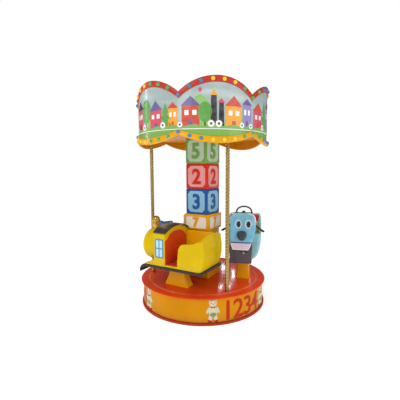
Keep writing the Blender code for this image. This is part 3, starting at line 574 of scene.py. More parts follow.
def raised(flat, low, high, place, slice_width=None):
    """A flat mesh given thickness on a surface; place turns across, up and depth into a point."""
    shape = bmesh.new()
    shape.from_mesh(flat)
    bmesh.ops.remove_doubles(shape, verts=shape.verts, dist=0.00001)
    bmesh.ops.dissolve_limit(shape, angle_limit=radians(1.0), verts=shape.verts, edges=shape.edges)
    if slice_width:
        across = [vert.co.x for vert in shape.verts]
        cut = (int(min(across) / slice_width) - 1) * slice_width
        while cut < max(across):
            everything = shape.verts[:] + shape.edges[:] + shape.faces[:]
            bmesh.ops.bisect_plane(shape, geom=everything, dist=0.00001, plane_co=(cut, 0.0, 0.0),
                                   plane_no=(1.0, 0.0, 0.0))
            cut += slice_width
    solid = bmesh.new()
    front = {vert: solid.verts.new(place(vert.co.x, vert.co.y, high)) for vert in shape.verts}
    back = {vert: solid.verts.new(place(vert.co.x, vert.co.y, low)) for vert in shape.verts}
    for face in shape.faces:
        solid.faces.new([front[vert] for vert in face.verts])
        solid.faces.new([back[vert] for vert in reversed(face.verts)])
    for edge in shape.edges:
        if len(edge.link_faces) == 1:
            first, second = edge.verts
            solid.faces.new((front[first], front[second], back[second], back[first]))
    shape.free()
    return mesh_of(solid)


def on_drum(radius, first_angle=0.0):
    """Lays a flat shape on a drum: across is the way round it, up the height."""
    def place(across, up, depth):
        return at(first_angle + across / radius, radius + depth, up)
    return place


def on_plane(matrix):
    """Lays a flat shape on a plane."""
    def place(across, up, depth):
        return matrix @ Vector((across, up, depth))
    return place


def face_frame(origin, across, up):
    """Frame of a face: its origin, the way across it and the way up it."""
    across = Vector(across).normalized()
    up = Vector(up).normalized()
    turn = Matrix((across, up, across.cross(up))).transposed().to_4x4()
    return Matrix.Translation(origin) @ turn


def blob(centre, half, rise, place, lean=0.0):
    """A low rounded cushion of relief on a surface."""
    shape = bmesh.new()
    bmesh.ops.create_uvsphere(shape, u_segments=20, v_segments=10, radius=1.0)
    buried = -0.0015
    for vert in shape.verts:
        across = vert.co.x * half[0]
        up = vert.co.y * half[1]
        depth = max(buried, vert.co.z * rise)
        vert.co = place(centre[0] + across * cos(lean) - up * sin(lean),
                        centre[1] + across * sin(lean) + up * cos(lean), depth)
    return mesh_of(shape, doubles=0.00005)


def painted(parts):
    """Meshes joined into one, each with its colour in the attribute that the paint reads."""
    shape = bmesh.new()
    layer = shape.verts.layers.float_color.new("paint")
    for mesh, colour in parts:
        count = len(shape.verts)
        shape.from_mesh(mesh)
        shape.verts.ensure_lookup_table()
        for vert in shape.verts[count:]:
            vert[layer] = (*colour, 1.0)
    return mesh_of(shape, doubles=0.0)


def merged_copy(node):
    """A node's mesh with its loose triangles joined."""
    shape = bmesh.new()
    shape.from_mesh(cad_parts[node].data)
    return mesh_of(shape, doubles=0.00002)


def remoulded(node, skin=0.005, rounds=6):
    """A node's shape with the soft edges of a moulding."""
    return with_modifiers(merged_copy(node), ("REMESH", {"mode": "VOXEL", "voxel_size": skin}),
                          ("SMOOTH", {"factor": 0.5, "iterations": rounds}))


def eased(node, width, segments=3, angle=30.0):
    """A node's shape with rounded edges and flat faces."""
    shape = bmesh.new()
    shape.from_mesh(merged_copy(node))
    bmesh.ops.dissolve_limit(shape, angle_limit=radians(0.5), verts=shape.verts, edges=shape.edges)
    return with_modifiers(mesh_of(shape), ("BEVEL", {"width": width, "segments": segments,
                                                     "limit_method": "ANGLE",
                                                     "angle_limit": radians(angle),
                                                     "miter_outer": "MITER_ARC"}))


def rod(route, radius, steps=16, closed=False, ends=True):
    """A round bar along a route; its ends are domed."""
    path = [Vector(point) for point in route]
    count = len(path)
    rings = []
    side = None
    for index, point in enumerate(path):
        before = path[index - 1] if index or closed else point
        after = path[(index + 1) % count] if index + 1 < count or closed else point
        along = (after - before).normalized()
        if side is None:
            side = along.orthogonal().normalized()
        side = (side - along * side.dot(along)).normalized()
        up = along.cross(side)
        ring = [point + (side * cos(tau * s / steps) + up * sin(tau * s / steps)) * radius
                for s in range(steps)]
        rings.append((point, along, ring))
    loops = [ring for _, _, ring in rings]
    if not closed and ends:
        for (point, along, ring), sign, where in ((rings[0], -1.0, 0), (rings[-1], 1.0, len(loops))):
            dome = []
            for angle in (0.35 * pi / 2, 0.7 * pi / 2, 0.92 * pi / 2):
                dome.append([point + (spot - point) * cos(angle) + along * sign * radius * sin(angle)
                             for spot in ring])
            loops[where:where] = list(reversed(dome)) if sign < 0 else dome
    return skinned(loops, closed_path=closed)


def smooth_route(points, steps=8):
    """A soft line through points, as a Catmull-Rom curve."""
    path = [Vector(point) for point in points]
    ends = [path[0] * 2 - path[1]] + path + [path[-1] * 2 - path[-2]]
    line = []
    for before, first, second, after in zip(ends, ends[1:], ends[2:], ends[3:]):
        for step in range(steps):
            t = step / steps
            line.append(0.5 * ((2 * first) + (second - before) * t
                               + (2 * before - 5 * first + 4 * second - after) * t * t
                               + (3 * first - before - 3 * second + after) * t ** 3))
    return line + [path[-1]]


# Geometry node trees

FLOAT, COUNT, VECTOR = "NodeSocketFloat", "NodeSocketInt", "NodeSocketVector"
THING, LOOK, SHAPE = "NodeSocketObject", "NodeSocketMaterial", "NodeSocketGeometry"


def new_tree(name, inputs):
    """A tree with a geometry input, named inputs and a geometry output."""
    tree = bpy.data.node_groups.new(name, "GeometryNodeTree")
    for label, kind in (("Geometry", SHAPE), *inputs):
        tree.interface.new_socket(label, in_out="INPUT", socket_type=kind)
    tree.interface.new_socket("Geometry", in_out="OUTPUT", socket_type=SHAPE)
    return tree, add_node(tree, "NodeGroupInput")


def chain(tree, *steps):
    """Links outputs to inputs; each step is an output socket and an input socket."""
    for source, target in steps:
        tree.links.new(source, target)


def end_tree(tree, given, source):
    """Realize Instances, Set Material and the tree's output."""
    real = add_node(tree, "GeometryNodeRealizeInstances")
    coat = add_node(tree, "GeometryNodeSetMaterial")
    result = add_node(tree, "NodeGroupOutput")
    chain(tree, (source, real.inputs[0]), (real.outputs[0], coat.inputs["Geometry"]),
          (given.outputs["Look"], coat.inputs["Material"]), (coat.outputs[0], result.inputs[0]))


def grown(mesh, tree, values):
    """The plain mesh that a tree makes of a mesh; inputs are set by their identifiers."""
    item = linked("work", mesh)
    modifier = item.modifiers.new(tree.name, "NODES")
    modifier.node_group = tree
    for label, value in values.items():
        modifier[tree.interface.items_tree[label].identifier] = value
    return baked(item)


def around_axis_tree():
    """Repeats a shape round the vertical axis."""
    tree, given = new_tree("around_axis", (("Count", COUNT), ("First angle", FLOAT), ("Step", FLOAT),
                                           ("Look", LOOK)))
    points = add_node(tree, "GeometryNodePoints")
    number = add_node(tree, "GeometryNodeInputIndex")
    turn = calculation(tree, "MULTIPLY", number.outputs[0], given.outputs["Step"])
    turn = calculation(tree, "ADD", turn, given.outputs["First angle"])
    rotation = add_node(tree, "ShaderNodeCombineXYZ")
    copies = add_node(tree, "GeometryNodeInstanceOnPoints")
    chain(tree, (given.outputs["Count"], points.inputs["Count"]), (turn, rotation.inputs["Z"]),
          (points.outputs[0], copies.inputs["Points"]), (given.outputs[0], copies.inputs["Instance"]),
          (rotation.outputs[0], copies.inputs["Rotation"]))
    end_tree(tree, given, copies.outputs[0])
    return tree


def lamp_row_tree():
    """Sets a lamp cap on every point, facing the way that the point's outward vector gives."""
    tree, given = new_tree("lamp_row", (("Cap", THING), ("Size", FLOAT), ("Look", LOOK)))
    cap = add_node(tree, "GeometryNodeObjectInfo")
    outward = add_node(tree, "GeometryNodeInputNamedAttribute", {"Name": "outward"},
                       data_type="FLOAT_VECTOR")
    facing = add_node(tree, "FunctionNodeAlignRotationToVector", axis="Z")
    copies = add_node(tree, "GeometryNodeInstanceOnPoints")
    chain(tree, (given.outputs["Cap"], cap.inputs["Object"]), (given.outputs[0], copies.inputs["Points"]),
          (cap.outputs["Geometry"], copies.inputs["Instance"]), (outward.outputs[0], facing.inputs["Vector"]),
          (facing.outputs[0], copies.inputs["Rotation"]), (given.outputs["Size"], copies.inputs["Scale"]))
    end_tree(tree, given, copies.outputs[0])
    return tree


def barley_twist_tree():
    """A pole whose lobed section turns as it rises; keeps how near the crest each point is."""
    tree, given = new_tree("barley_twist", (("Foot", VECTOR), ("Height", FLOAT), ("Radius", FLOAT),
                                            ("Groove", FLOAT), ("Turn length", FLOAT), ("Lobes", FLOAT),
                                            ("Rings", COUNT), ("Look", LOOK)))
    give = given.outputs
    top = add_node(tree, "ShaderNodeCombineXYZ")
    line = add_node(tree, "GeometryNodeCurvePrimitiveLine")
    spaced = add_node(tree, "GeometryNodeResampleCurve", mode="COUNT")
    along = add_node(tree, "GeometryNodeSplineParameter")
    tilt = add_node(tree, "GeometryNodeSetCurveTilt")
    turns = calculation(tree, "DIVIDE", along.outputs["Length"], give["Turn length"])
    turns = calculation(tree, "MULTIPLY", turns, tau)
    chain(tree, (give["Height"], top.inputs["Z"]), (top.outputs[0], line.inputs["End"]),
          (line.outputs[0], spaced.inputs["Curve"]), (give["Rings"], spaced.inputs["Count"]),
          (spaced.outputs[0], tilt.inputs["Curve"]), (turns, tilt.inputs["Tilt"]))

    circle = add_node(tree, "GeometryNodeCurvePrimitiveCircle", {"Resolution": 36})
    spot = add_node(tree, "GeometryNodeInputPosition")
    parts = add_node(tree, "ShaderNodeSeparateXYZ")
    bearing = add_node(tree, "ShaderNodeMath", operation="ARCTAN2")
    chain(tree, (give["Radius"], circle.inputs["Radius"]), (spot.outputs[0], parts.inputs[0]),
          (parts.outputs["Y"], bearing.inputs[0]), (parts.outputs["X"], bearing.inputs[1]))
    wave = calculation(tree, "MULTIPLY", bearing.outputs[0], give["Lobes"])
    wave = add_cosine(tree, wave)
    depth = calculation(tree, "MULTIPLY", wave, give["Groove"])
    share = calculation(tree, "DIVIDE", depth, give["Radius"])
    size = calculation(tree, "SUBTRACT", 1.0, share)
    scaled = add_node(tree, "ShaderNodeVectorMath", operation="SCALE")
    section = add_node(tree, "GeometryNodeSetPosition")
    pole = add_node(tree, "GeometryNodeCurveToMesh", {"Fill Caps": True})
    chain(tree, (spot.outputs[0], scaled.inputs[0]), (size, scaled.inputs["Scale"]),
          (circle.outputs[0], section.inputs["Geometry"]), (scaled.outputs[0], section.inputs["Position"]),
          (tilt.outputs[0], pole.inputs["Curve"]), (section.outputs[0], pole.inputs["Profile Curve"]))

    flat = add_node(tree, "ShaderNodeVectorMath", operation="MULTIPLY")
    flat.inputs[1].default_value = (1.0, 1.0, 0.0)
    reach = add_node(tree, "ShaderNodeVectorMath", operation="LENGTH")
    low = calculation(tree, "SUBTRACT", give["Radius"], give["Groove"])
    crest = add_node(tree, "ShaderNodeMapRange")
    kept = add_node(tree, "GeometryNodeStoreNamedAttribute", {"Name": "crest"})
    stood = add_node(tree, "GeometryNodeSetPosition")
    chain(tree, (spot.outputs[0], flat.inputs[0]), (flat.outputs[0], reach.inputs[0]),
          (reach.outputs["Value"], crest.inputs["Value"]), (low, crest.inputs["From Min"]),
          (give["Radius"], crest.inputs["From Max"]), (pole.outputs[0], kept.inputs["Geometry"]),
          (crest.outputs[0], kept.inputs["Value"]), (kept.outputs[0], stood.inputs["Geometry"]),
          (give["Foot"], stood.inputs["Offset"]))
    end_tree(tree, given, stood.outputs[0])
    return tree


def add_cosine(tree, angle):
    """Half of one minus the cosine: 0 on a crest, 1 in a groove."""
    made = add_node(tree, "ShaderNodeMath", operation="COSINE")
    tree.links.new(angle, made.inputs[0])
    return calculation(tree, "MULTIPLY", calculation(tree, "SUBTRACT", 1.0, made.outputs[0]), 0.5)


AROUND_AXIS = around_axis_tree()
LAMP_ROW = lamp_row_tree()
BARLEY_TWIST = barley_twist_tree()


def repeated(mesh, look, count, first_angle=0.0):
    """A mesh repeated evenly round the axis."""
    return grown(mesh, AROUND_AXIS, {"Count": count, "First angle": first_angle, "Step": tau / count,
                                     "Look": LOOKS[look]})


# Base drum and deck

CREAM = srgb(212, 206, 176)
BEAR_SLIMNESS = 0.86
BEAR_GREEN = srgb(120, 152, 96)
PAINT_RED = srgb(188, 44, 0)
INK = srgb(60, 56, 66)
BEAR_BESIDE = 28.0
SIGN_MIDDLE = 36.0


def bear():
    """A plain teddy in low relief, standing at angle 0 of the skirt."""
    place = on_drum(SKIRT_RADIUS)
    shapes = []
    for side in (-1, 1):
        shapes += [(((side * 0.035, 0.242), (0.015, 0.014), 0.007), CREAM),
                   (((side * 0.035, 0.242), (0.008, 0.008), 0.009), BEAR_GREEN),
                   (((side * 0.056, 0.152), (0.016, 0.037), 0.009, side * 0.42), CREAM),
                   (((side * 0.029, 0.074), (0.025, 0.036), 0.011, side * 0.12), CREAM),
                   (((side * 0.036, 0.044), (0.024, 0.016), 0.014), PAINT_RED),
                   (((side * 0.019, 0.226), (0.0075, 0.0085), 0.0125), INK),
                   (((side * 0.013, 0.182), (0.012, 0.008), 0.0145), PAINT_RED)]
    shapes += [(((0.0, 0.218), (0.045, 0.036), 0.011), CREAM),
               (((0.0, 0.205), (0.018, 0.013), 0.0145), srgb(246, 242, 226)),
               (((0.0, 0.210), (0.010, 0.007), 0.0165), INK),
               (((0.0, 0.200), (0.003, 0.008), 0.0160), INK),
               (((0.0, 0.136), (0.051, 0.057), 0.012), CREAM),
               (((0.0, 0.116), (0.042, 0.039), 0.0135), BEAR_GREEN)]
    slim = [(((x * BEAR_SLIMNESS, up), (half[0] * BEAR_SLIMNESS, half[1]), *rest), colour)
            for ((x, up), half, *rest), colour in shapes]
    return painted([(blob(*where[:3], place, *where[3:]), colour) for where, colour in slim])


def skirt_numerals():
    """The numbers 1 to 4 side by side on a third of the skirt, middle at angle 0."""
    place = on_drum(SKIRT_RADIUS)
    shapes = []
    for number in range(4):
        flat = moved(numeral(str(number + 1), 0.196, 0.012),
                     Matrix.Translation(((number - 1.5) * 0.122, 0.136, 0.0)))
        shapes.append((raised(flat, -0.001, 0.003, place, 0.012), PAINT_RED))
    return painted(shapes)


def base():
    """Drum skirt with its figures and numbers, floor plate and bearing."""
    low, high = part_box("base_skirt")
    wall = 0.010
    lip = 0.003
    skirt = lathe([(SKIRT_RADIUS - lip, high.z), (SKIRT_RADIUS, high.z - lip), (SKIRT_RADIUS, low.z + lip),
                   (SKIRT_RADIUS - lip, low.z), (SKIRT_RADIUS - wall, low.z), (SKIRT_RADIUS - wall, high.z)],
                  closed=True)
    piece("skirt_drum", skirt, "amber", "amber_gelcoat", "base", ["base_skirt"])
    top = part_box("base_plate")[1]
    edge = 0.008
    plate = lathe([(0.0, top.z), (top.x - edge, top.z),
                   *curve_points((top.x - edge, top.z - edge), edge, pi / 2, 0.0, 5)[1:], (top.x, 0.003),
                   (top.x - 0.003, 0.0), (0.0, 0.0)])
    piece("floor_plate", plate, "plate", "red_gelcoat", "base", ["base_plate"])
    bears = [repeated(bear(), "relief", 3, radians(SIGN_MIDDLE + side * BEAR_BESIDE)) for side in (-1, 1)]
    piece("skirt_bears", joined(bears), "relief", "white_gelcoat", "base", sharp=60.0)
    piece("skirt_numerals", repeated(skirt_numerals(), "relief", 3, radians(SIGN_MIDDLE)), "relief",
          "red_gelcoat", "base")
    dress("bearing_post", "steel")
    dress("deck_hub", "steel")


def deck():
    """Turning platform: a low round step, a rolled rim and a hollow turned underside."""
    rim = DECK_HIGH - DECK_STEP - DECK_LOW
    slope = 0.014
    step = [(DECK_STEP_RADIUS - slope / 2 + slope * t / 6,
             DECK_HIGH - DECK_STEP * (0.5 - 0.5 * cos(pi * t / 6))) for t in range(7)]
    edge = curve_points((DECK_RADIUS - rim / 2, DECK_LOW + rim / 2), rim / 2, pi / 2, -pi / 2, 8)
    profile = [(0.0, DECK_HIGH), (0.30, DECK_HIGH), *step, *edge, (0.0, DECK_LOW)]
    piece("deck_moulding", lathe(profile), "red", "red_gelcoat", replaces=["deck"], sharp=60.0)


# Block column

BLOCKS = (("block_green", "5", -6.0, 0.62, "green", "pale_green"),
          ("block_red", "2", -1.5, 0.62, "bright_red", "pale_red"),
          ("block_blue", "3", -3.5, 0.62, "blue", "pale_blue"),
          ("block_yellow", "7", 0.0, 0.66, "block_yellow", "cream"))
BLOCK_EDGE = 0.012
PANEL_DEPTH = 0.003
PANEL_EDGE = 0.0012
SIDE_BORDER = 0.095
LEVEL_BORDER = 0.080
PANEL_CUT = 0.125
FLAT_PANEL_CUT = 0.05
GLYPH_WEIGHT = 0.034


def block_body(half, low, high):
    """A block whose four sides have a sunk panel with cut corners."""
    cut = (PANEL_CUT if high - low > 1.5 * half else FLAT_PANEL_CUT) * 2 * half
    middle = (low + high) / 2
    tall = (high - low) / 2
    shape = bmesh.new()
    weight = shape.edges.layers.float.new("bevel_weight_edge")
    for quarter in range(4):
        side = face_frame((0, 0, middle), (1, 0, 0), (0, 0, 1))
        side = Matrix.Rotation(quarter * pi / 2, 4, "Z") @ side @ Matrix.Translation((0, 0, half))
        wide, up = half * (1.0 - 2 * SIDE_BORDER), tall - LEVEL_BORDER * 2 * half
        inner = [(wide - cut, -up), (wide, -up + cut), (wide, up - cut), (wide - cut, up),
                 (cut - wide, up), (-wide, up - cut), (-wide, cut - up), (cut - wide, -up)]
        outer = [(half, -tall), (half, tall), (-half, tall), (-half, -tall)]
        frame_points = [shape.verts.new(side @ Vector((*point, 0.0))) for point in inner]
        sunk = [shape.verts.new(side @ Vector((*point, -PANEL_DEPTH))) for point in inner]
        corners = [shape.verts.new(side @ Vector((*point, 0.0))) for point in outer]
        for index in range(4):
            first, second = frame_points[2 * index], frame_points[2 * index + 1]
            third = frame_points[(2 * index + 2) % 8]
            shape.faces.new((corners[index], second, first))
            shape.faces.new((corners[index], corners[(index + 1) % 4], third, second))
        for index in range(8):
            following = (index + 1) % 8
            shape.faces.new((frame_points[index], frame_points[following], sunk[following], sunk[index]))
        shape.faces.new(sunk).material_index = 1
    for level in (-tall, tall):
        corners = [shape.verts.new((x * half, y * half, middle + level))
                   for x, y in ((-1, -1), (1, -1), (1, 1), (-1, 1))]
        shape.faces.new(corners)
    bmesh.ops.remove_doubles(shape, verts=shape.verts, dist=0.00001)
    bmesh.ops.recalc_face_normals(shape, faces=shape.faces)
    for edge in shape.edges:
        outer = all(abs(abs(v.co.x) - half) < 1e-5 and abs(abs(v.co.y) - half) < 1e-5 or
                    abs(abs(v.co.z - middle) - tall) < 1e-5 for v in edge.verts)
        turned = len(edge.link_faces) == 2 and edge.calc_face_angle() > radians(20.0)
        if turned:
            edge[weight] = 1.0 if outer else PANEL_EDGE / BLOCK_EDGE
    return with_modifiers(mesh_of(shape), ("BEVEL", {"width": BLOCK_EDGE, "segments": 4,
                                                     "limit_method": "WEIGHT"}))


def column():
    """Toy blocks with plain numbers on a square plinth."""
    for node, digit, turn, share, border, panel in BLOCKS:
        corner_low, corner_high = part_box(node)
        low, high = corner_low.z, corner_high.z
        half = (0.320 if node == "block_yellow" else 0.279) / 2
        stand = COLUMN_FRAME @ Matrix.Rotation(radians(turn), 4, "Z")
        body = moved(block_body(half, low, high), stand)
        piece(node.replace("block_", "toy_block_"), body, (border, panel), slot_of(node), replaces=[node])
        side = face_frame((0, -half, (low + high) / 2), (1, 0, 0), (0, 0, 1))
        weight = GLYPH_WEIGHT * (1.6 if high - low < 1.5 * half else 1.0)
        glyph = raised(numeral(digit, share * (high - low), weight), -PANEL_DEPTH, 0.0008,
                       on_plane(stand @ side))
        piece(node.replace("block_", "numeral_"), repeated(glyph, border, 4), border, slot_of(node))
    piece("plinth", eased("column_plinth", 0.010), "orange", "orange_gelcoat", replaces=["column_plinth"])


def slot_of(node):
    """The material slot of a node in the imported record."""
    return NODE_SLOTS[node]


# Crown


def lobe_drop(angle, height):
    """How far a lobe's arc has fallen at an angle from its cusp; height is the fall at the cusp."""
    half_width = CROWN_RADIUS * LOBE_HALF
    radius = (half_width ** 2 + height ** 2) / (2.0 * height)
    from_middle = (angle % (2.0 * LOBE_HALF)) - LOBE_HALF
    return radius - sqrt(radius ** 2 - (CROWN_RADIUS * from_middle) ** 2)


def top_edge(angle):
    """Height of the crown's upper edge."""
    return CROWN_PEAK - lobe_drop(angle, CROWN_PEAK - CROWN_CUSP)


def low_edge(angle):
    """Height of the crown's lower edge."""
    return CROWN_LOW_MID + lobe_drop(angle, CROWN_LOW_CUSP - CROWN_LOW_MID)


def low_trim_height(angle):
    """Height of the lower trim, least at the cusps."""
    share = lobe_drop(angle, CROWN_LOW_CUSP - CROWN_LOW_MID) / (CROWN_LOW_CUSP - CROWN_LOW_MID)
    return LOW_TRIM_MID + (LOW_TRIM_CUSP - LOW_TRIM_MID) * share


LOBE_STEPS = 40


def crown_ring(section, lobes=LOBES, first=0, margin=0.0):
    """A section swept round the crown, from one cusp on; angles count from the first cusp."""
    closed = lobes == LOBES
    steps = lobes * LOBE_STEPS
    start = first * 2 * LOBE_HALF + margin
    span = lobes * 2 * LOBE_HALF - 2 * margin
    rings = []
    for step in range(steps if closed else steps + 1):
        angle = start + span * step / steps
        rings.append([at(CROWN_ANGLE + angle, radius, level) for radius, level in section(angle)])
    return skinned(rings, closed_path=closed)


def crown_panel(number):
    """One lobe of the crown: sky outside, yellow inside."""
    inner = CROWN_RADIUS - CROWN_WALL

    def section(angle):
        low = low_edge(angle) + 0.002
        high = top_edge(angle) - 0.002
        return [(CROWN_RADIUS, low), (CROWN_RADIUS, high), (inner, high), (inner, low)]

    mesh = crown_ring(section, 1, number, 0.0003 / CROWN_RADIUS)
    for face in mesh.polygons:
        outside = face.center.xy.length > CROWN_RADIUS - CROWN_WALL / 4
        face.material_index = 0 if outside and abs(face.normal.z) < 0.5 else 1
    return mesh


def trims():
    """Rolled trims along both scalloped edges and the white bead between picture and green."""
    skin = CROWN_RADIUS + 0.0003

    def top_section(angle):
        high = top_edge(angle)
        low = high - TRIM_HEIGHT
        return [(skin, low), (skin + 0.005, low), (skin + 0.0075, low + 0.006), (skin + 0.009, low + 0.020),
                (skin + 0.009, high - 0.020), (skin + 0.0075, high - 0.006), (skin + 0.005, high),
                (skin, high)]

    def low_section(angle):
        low = low_edge(angle)
        high = low + low_trim_height(angle)
        return [(skin, low), (skin + 0.015, low), (skin + 0.019, low + 0.004), (skin + 0.0185, low + 0.012),
                (skin + 0.010, high - 0.008), (skin + 0.007, high - 0.002), (skin + 0.004, high),
                (skin, high)]

    def bead_section(angle):
        return [(skin, BEAD_LEVEL - 0.005), *[(skin + x, z) for x, z in curve_points(
            (0.001, BEAD_LEVEL), (0.006, 0.005), -pi / 2, pi / 2, 6)], (skin, BEAD_LEVEL + 0.005)]

    piece("top_trim", crown_ring(top_section), "crown_red", "bright_red_gelcoat", replaces=["crown_top_trim"])
    piece("lower_trim", crown_ring(low_section), "yellow", "yellow_gelcoat", replaces=["crown_lower_trim"])
    piece("bead", crown_ring(bead_section), "white", "white_gelcoat", replaces=["crown_bead"])


LAMP_RADIUS = 0.0195
LAMP_HEIGHT = 0.016
LAMPS_A_LOBE = 7
LAMP_COLOURS = (srgb(58, 116, 158), srgb(255, 196, 20), srgb(74, 158, 74))
LAMPS_BEHIND = 18


def lamp_cap():
    """A fluted domed cap, standing on the origin."""
    rows = ((1.0, -0.12), (1.0, 0.20), (0.90, 0.55), (0.66, 0.85), (0.34, 0.97))
    steps = 24
    rings = []
    for share, rise in rows:
        ring = []
        for step in range(steps):
            radius = LAMP_RADIUS * share * (1.0 - 0.05 * (step % 2) * (rise > 0.0))
            ring.append((radius * cos(tau * step / steps), radius * sin(tau * step / steps),
                         LAMP_HEIGHT * rise))
        rings.append(ring)
    return skinned(rings)


def lamps(name, level, reach, slope, slot):
    """The lamps along one trim, in threes of a colour."""
    mesh = bpy.data.meshes.new(name)
    count = LAMPS_A_LOBE * LOBES
    spots, outward, colours = [], [], []
    for number in range(count):
        angle = 2 * LOBE_HALF * number / LAMPS_A_LOBE
        spots.append(at(CROWN_ANGLE + angle, CROWN_RADIUS + reach, level(angle)))
        outward.append((at(CROWN_ANGLE + angle, 1.0, 0.0) - Z_AXIS * slope).normalized())
        place = (number + LAMPS_BEHIND) % count - LAMPS_BEHIND
        colours.append(LAMP_COLOURS[place // 3 % 3])
    mesh.from_pydata(spots, [], [])
    facing = mesh.attributes.new("outward", "FLOAT_VECTOR", "POINT")
    facing.data.foreach_set("vector", [value for vector in outward for value in vector])
    tint = mesh.attributes.new("cap_colour", "FLOAT_COLOR", "POINT")
    tint.data.foreach_set("color", [value for colour in colours for value in (*colour, 1.0)])
    cap = linked("cap", lamp_cap())
    made = grown(mesh, LAMP_ROW, {"Cap": cap, "Size": 1.0, "Look": LOOKS["lamps"]})
    bpy.data.objects.remove(cap)
    piece(name, made, "lamps", slot, sharp=50.0)


# Painted frieze of a toy town: flat motifs in layers on the crown

HILL, LEAF, PINK = srgb(140, 190, 108), srgb(94, 160, 72), srgb(214, 78, 98)
BRICK, TANGERINE, LILAC = srgb(206, 74, 54), srgb(242, 164, 50), srgb(150, 136, 196)
SLATE, PLUM, PAPER, SUN = srgb(58, 54, 62), srgb(106, 92, 150), srgb(244, 244, 240), srgb(248, 196, 40)
GROUND = BEAD_LEVEL + 0.006


def hill(middle, width, height):
    """A rounded hill behind the town."""
    slope = [(middle + width * (t / 12 - 0.5), GROUND + height * (0.5 - 0.5 * cos(tau * t / 12)))
             for t in range(13)]
    return [(slope, 1, HILL)]


def house(left, width, wall, roof, colour, top):
    """A gabled house with a door and two windows."""
    right = left + width
    shapes = [([(left, GROUND), (right, GROUND), (right, GROUND + wall), (left, GROUND + wall)], 3, colour),
              ([(left - 0.008, GROUND + wall), (right + 0.008, GROUND + wall),
                (left + width / 2, GROUND + wall + roof)], 4, top)]
    door = left + width * 0.38
    shapes.append(([(door, GROUND), (door + width * 0.24, GROUND), (door + width * 0.24, GROUND + wall * 0.34),
                    (door, GROUND + wall * 0.34)], 4, top))
    for share in (0.16, 0.60):
        pane = left + width * share
        shapes.append((rounded_box((pane, GROUND + wall * 0.58), (pane + width * 0.24, GROUND + wall * 0.80),
                                   0.004), 4, PAPER))
    return shapes


def tower(middle, width, height, colour, top):
    """A tall narrow tower with a ball on its cap."""
    half = width / 2
    high = GROUND + height
    return [([(middle - half, GROUND), (middle + half, GROUND), (middle + half * 0.8, high),
              (middle - half * 0.8, high)], 3, colour),
            ([(middle - half * 1.2, high), (middle + half * 1.2, high), (middle, high + width * 0.8)], 4, top),
            (oval((middle, high + width * 0.86), 0.007, 14), 5, SUN)]


def tree(middle, height, colour):
    """A round tree on a stem."""
    crown = 0.42 * height
    return [([(middle - 0.007, GROUND), (middle + 0.007, GROUND), (middle + 0.005, GROUND + height - crown),
              (middle - 0.005, GROUND + height - crown)], 2, SLATE),
            (oval((middle, GROUND + height - crown * 0.8), (crown * 0.72, crown), 20), 3, colour)]


def fir(middle, height):
    """A pointed tree of three tiers."""
    shapes = []
    for tier in range(3):
        low = GROUND + height * (0.12 + 0.26 * tier)
        half = height * (0.30 - 0.07 * tier)
        shapes.append(([(middle - half, low), (middle + half, low), (middle, low + height * 0.40)], 3 + tier,
                       LEAF))
    return shapes


def flower(middle, radius):
    """A white daisy at the foot of the picture."""
    petals = [(middle + radius * (1.0 - 0.16 * (t % 2)) * cos(tau * t / 20),
               GROUND + radius + 0.006 + radius * (1.0 - 0.16 * (t % 2)) * sin(tau * t / 20))
              for t in range(20)]
    return [(petals, 6, PAPER), (oval((middle, GROUND + radius + 0.006), radius * 0.34, 14), 7, SLATE)]


def kite(middle, level, size, colour):
    """A kite with a bow."""
    return [([(middle, level - size), (middle + size * 0.7, level), (middle, level + size * 0.7),
              (middle - size * 0.7, level)], 3, colour),
            ([(middle - size * 0.25, level - size * 1.3), (middle + size * 0.25, level - size * 1.3),
              (middle, level - size)], 4, SUN)]


def grass():
    """The green strip along the foot of one lobe."""
    width = 2 * LOBE_HALF * CROWN_RADIUS
    top = [(width * (1 - t / 24), GROUND + 0.026 + 0.008 * sin(t * pi / 3)) for t in range(25)]
    return [([(0.0, GROUND), (width, GROUND), *top], 5, srgb(126, 178, 88))]


def towns():
    """Three layouts, each from the left cusp of its lobe to the right one."""
    return ((*hill(0.20, 0.50, 0.30), *hill(0.56, 0.40, 0.20), *house(0.030, 0.165, 0.200, 0.085, BRICK, PLUM),
             *tree(0.244, 0.215, LEAF), *tower(0.325, 0.062, 0.290, SLATE, TANGERINE),
             *tower(0.396, 0.054, 0.225, SLATE, PINK), *house(0.438, 0.165, 0.200, 0.095, TANGERINE, BRICK),
             *house(0.616, 0.108, 0.225, 0.055, LILAC, PLUM), *kite(0.200, 2.225, 0.030, PINK),
             *flower(0.012, 0.028), *flower(0.300, 0.034), *flower(0.372, 0.034), *flower(0.610, 0.028),
             *flower(0.722, 0.026), *grass()),
            (*hill(0.52, 0.46, 0.27), *house(0.022, 0.160, 0.185, 0.080, PINK, BRICK),
             *fir(0.240, 0.285), *house(0.306, 0.148, 0.245, 0.075, LILAC, SLATE),
             *tower(0.494, 0.064, 0.275, BRICK, SLATE), *tree(0.566, 0.220, LEAF),
             *house(0.604, 0.122, 0.170, 0.075, TANGERINE, PLUM), *flower(0.196, 0.032),
             *flower(0.462, 0.030), *flower(0.585, 0.030), *grass()),
            (*hill(0.14, 0.38, 0.20), *hill(0.50, 0.46, 0.22), *tower(0.052, 0.058, 0.220, TANGERINE, PINK),
             *house(0.098, 0.160, 0.220, 0.085, PINK, SLATE), *tree(0.322, 0.280, LEAF),
             *house(0.396, 0.160, 0.180, 0.090, PINK, PLUM), *fir(0.598, 0.230),
             *house(0.630, 0.096, 0.185, 0.055, TANGERINE, BRICK), *flower(0.084, 0.026),
             *flower(0.278, 0.032), *flower(0.568, 0.032), *grass()))


PAINT_LAYER = 0.0004


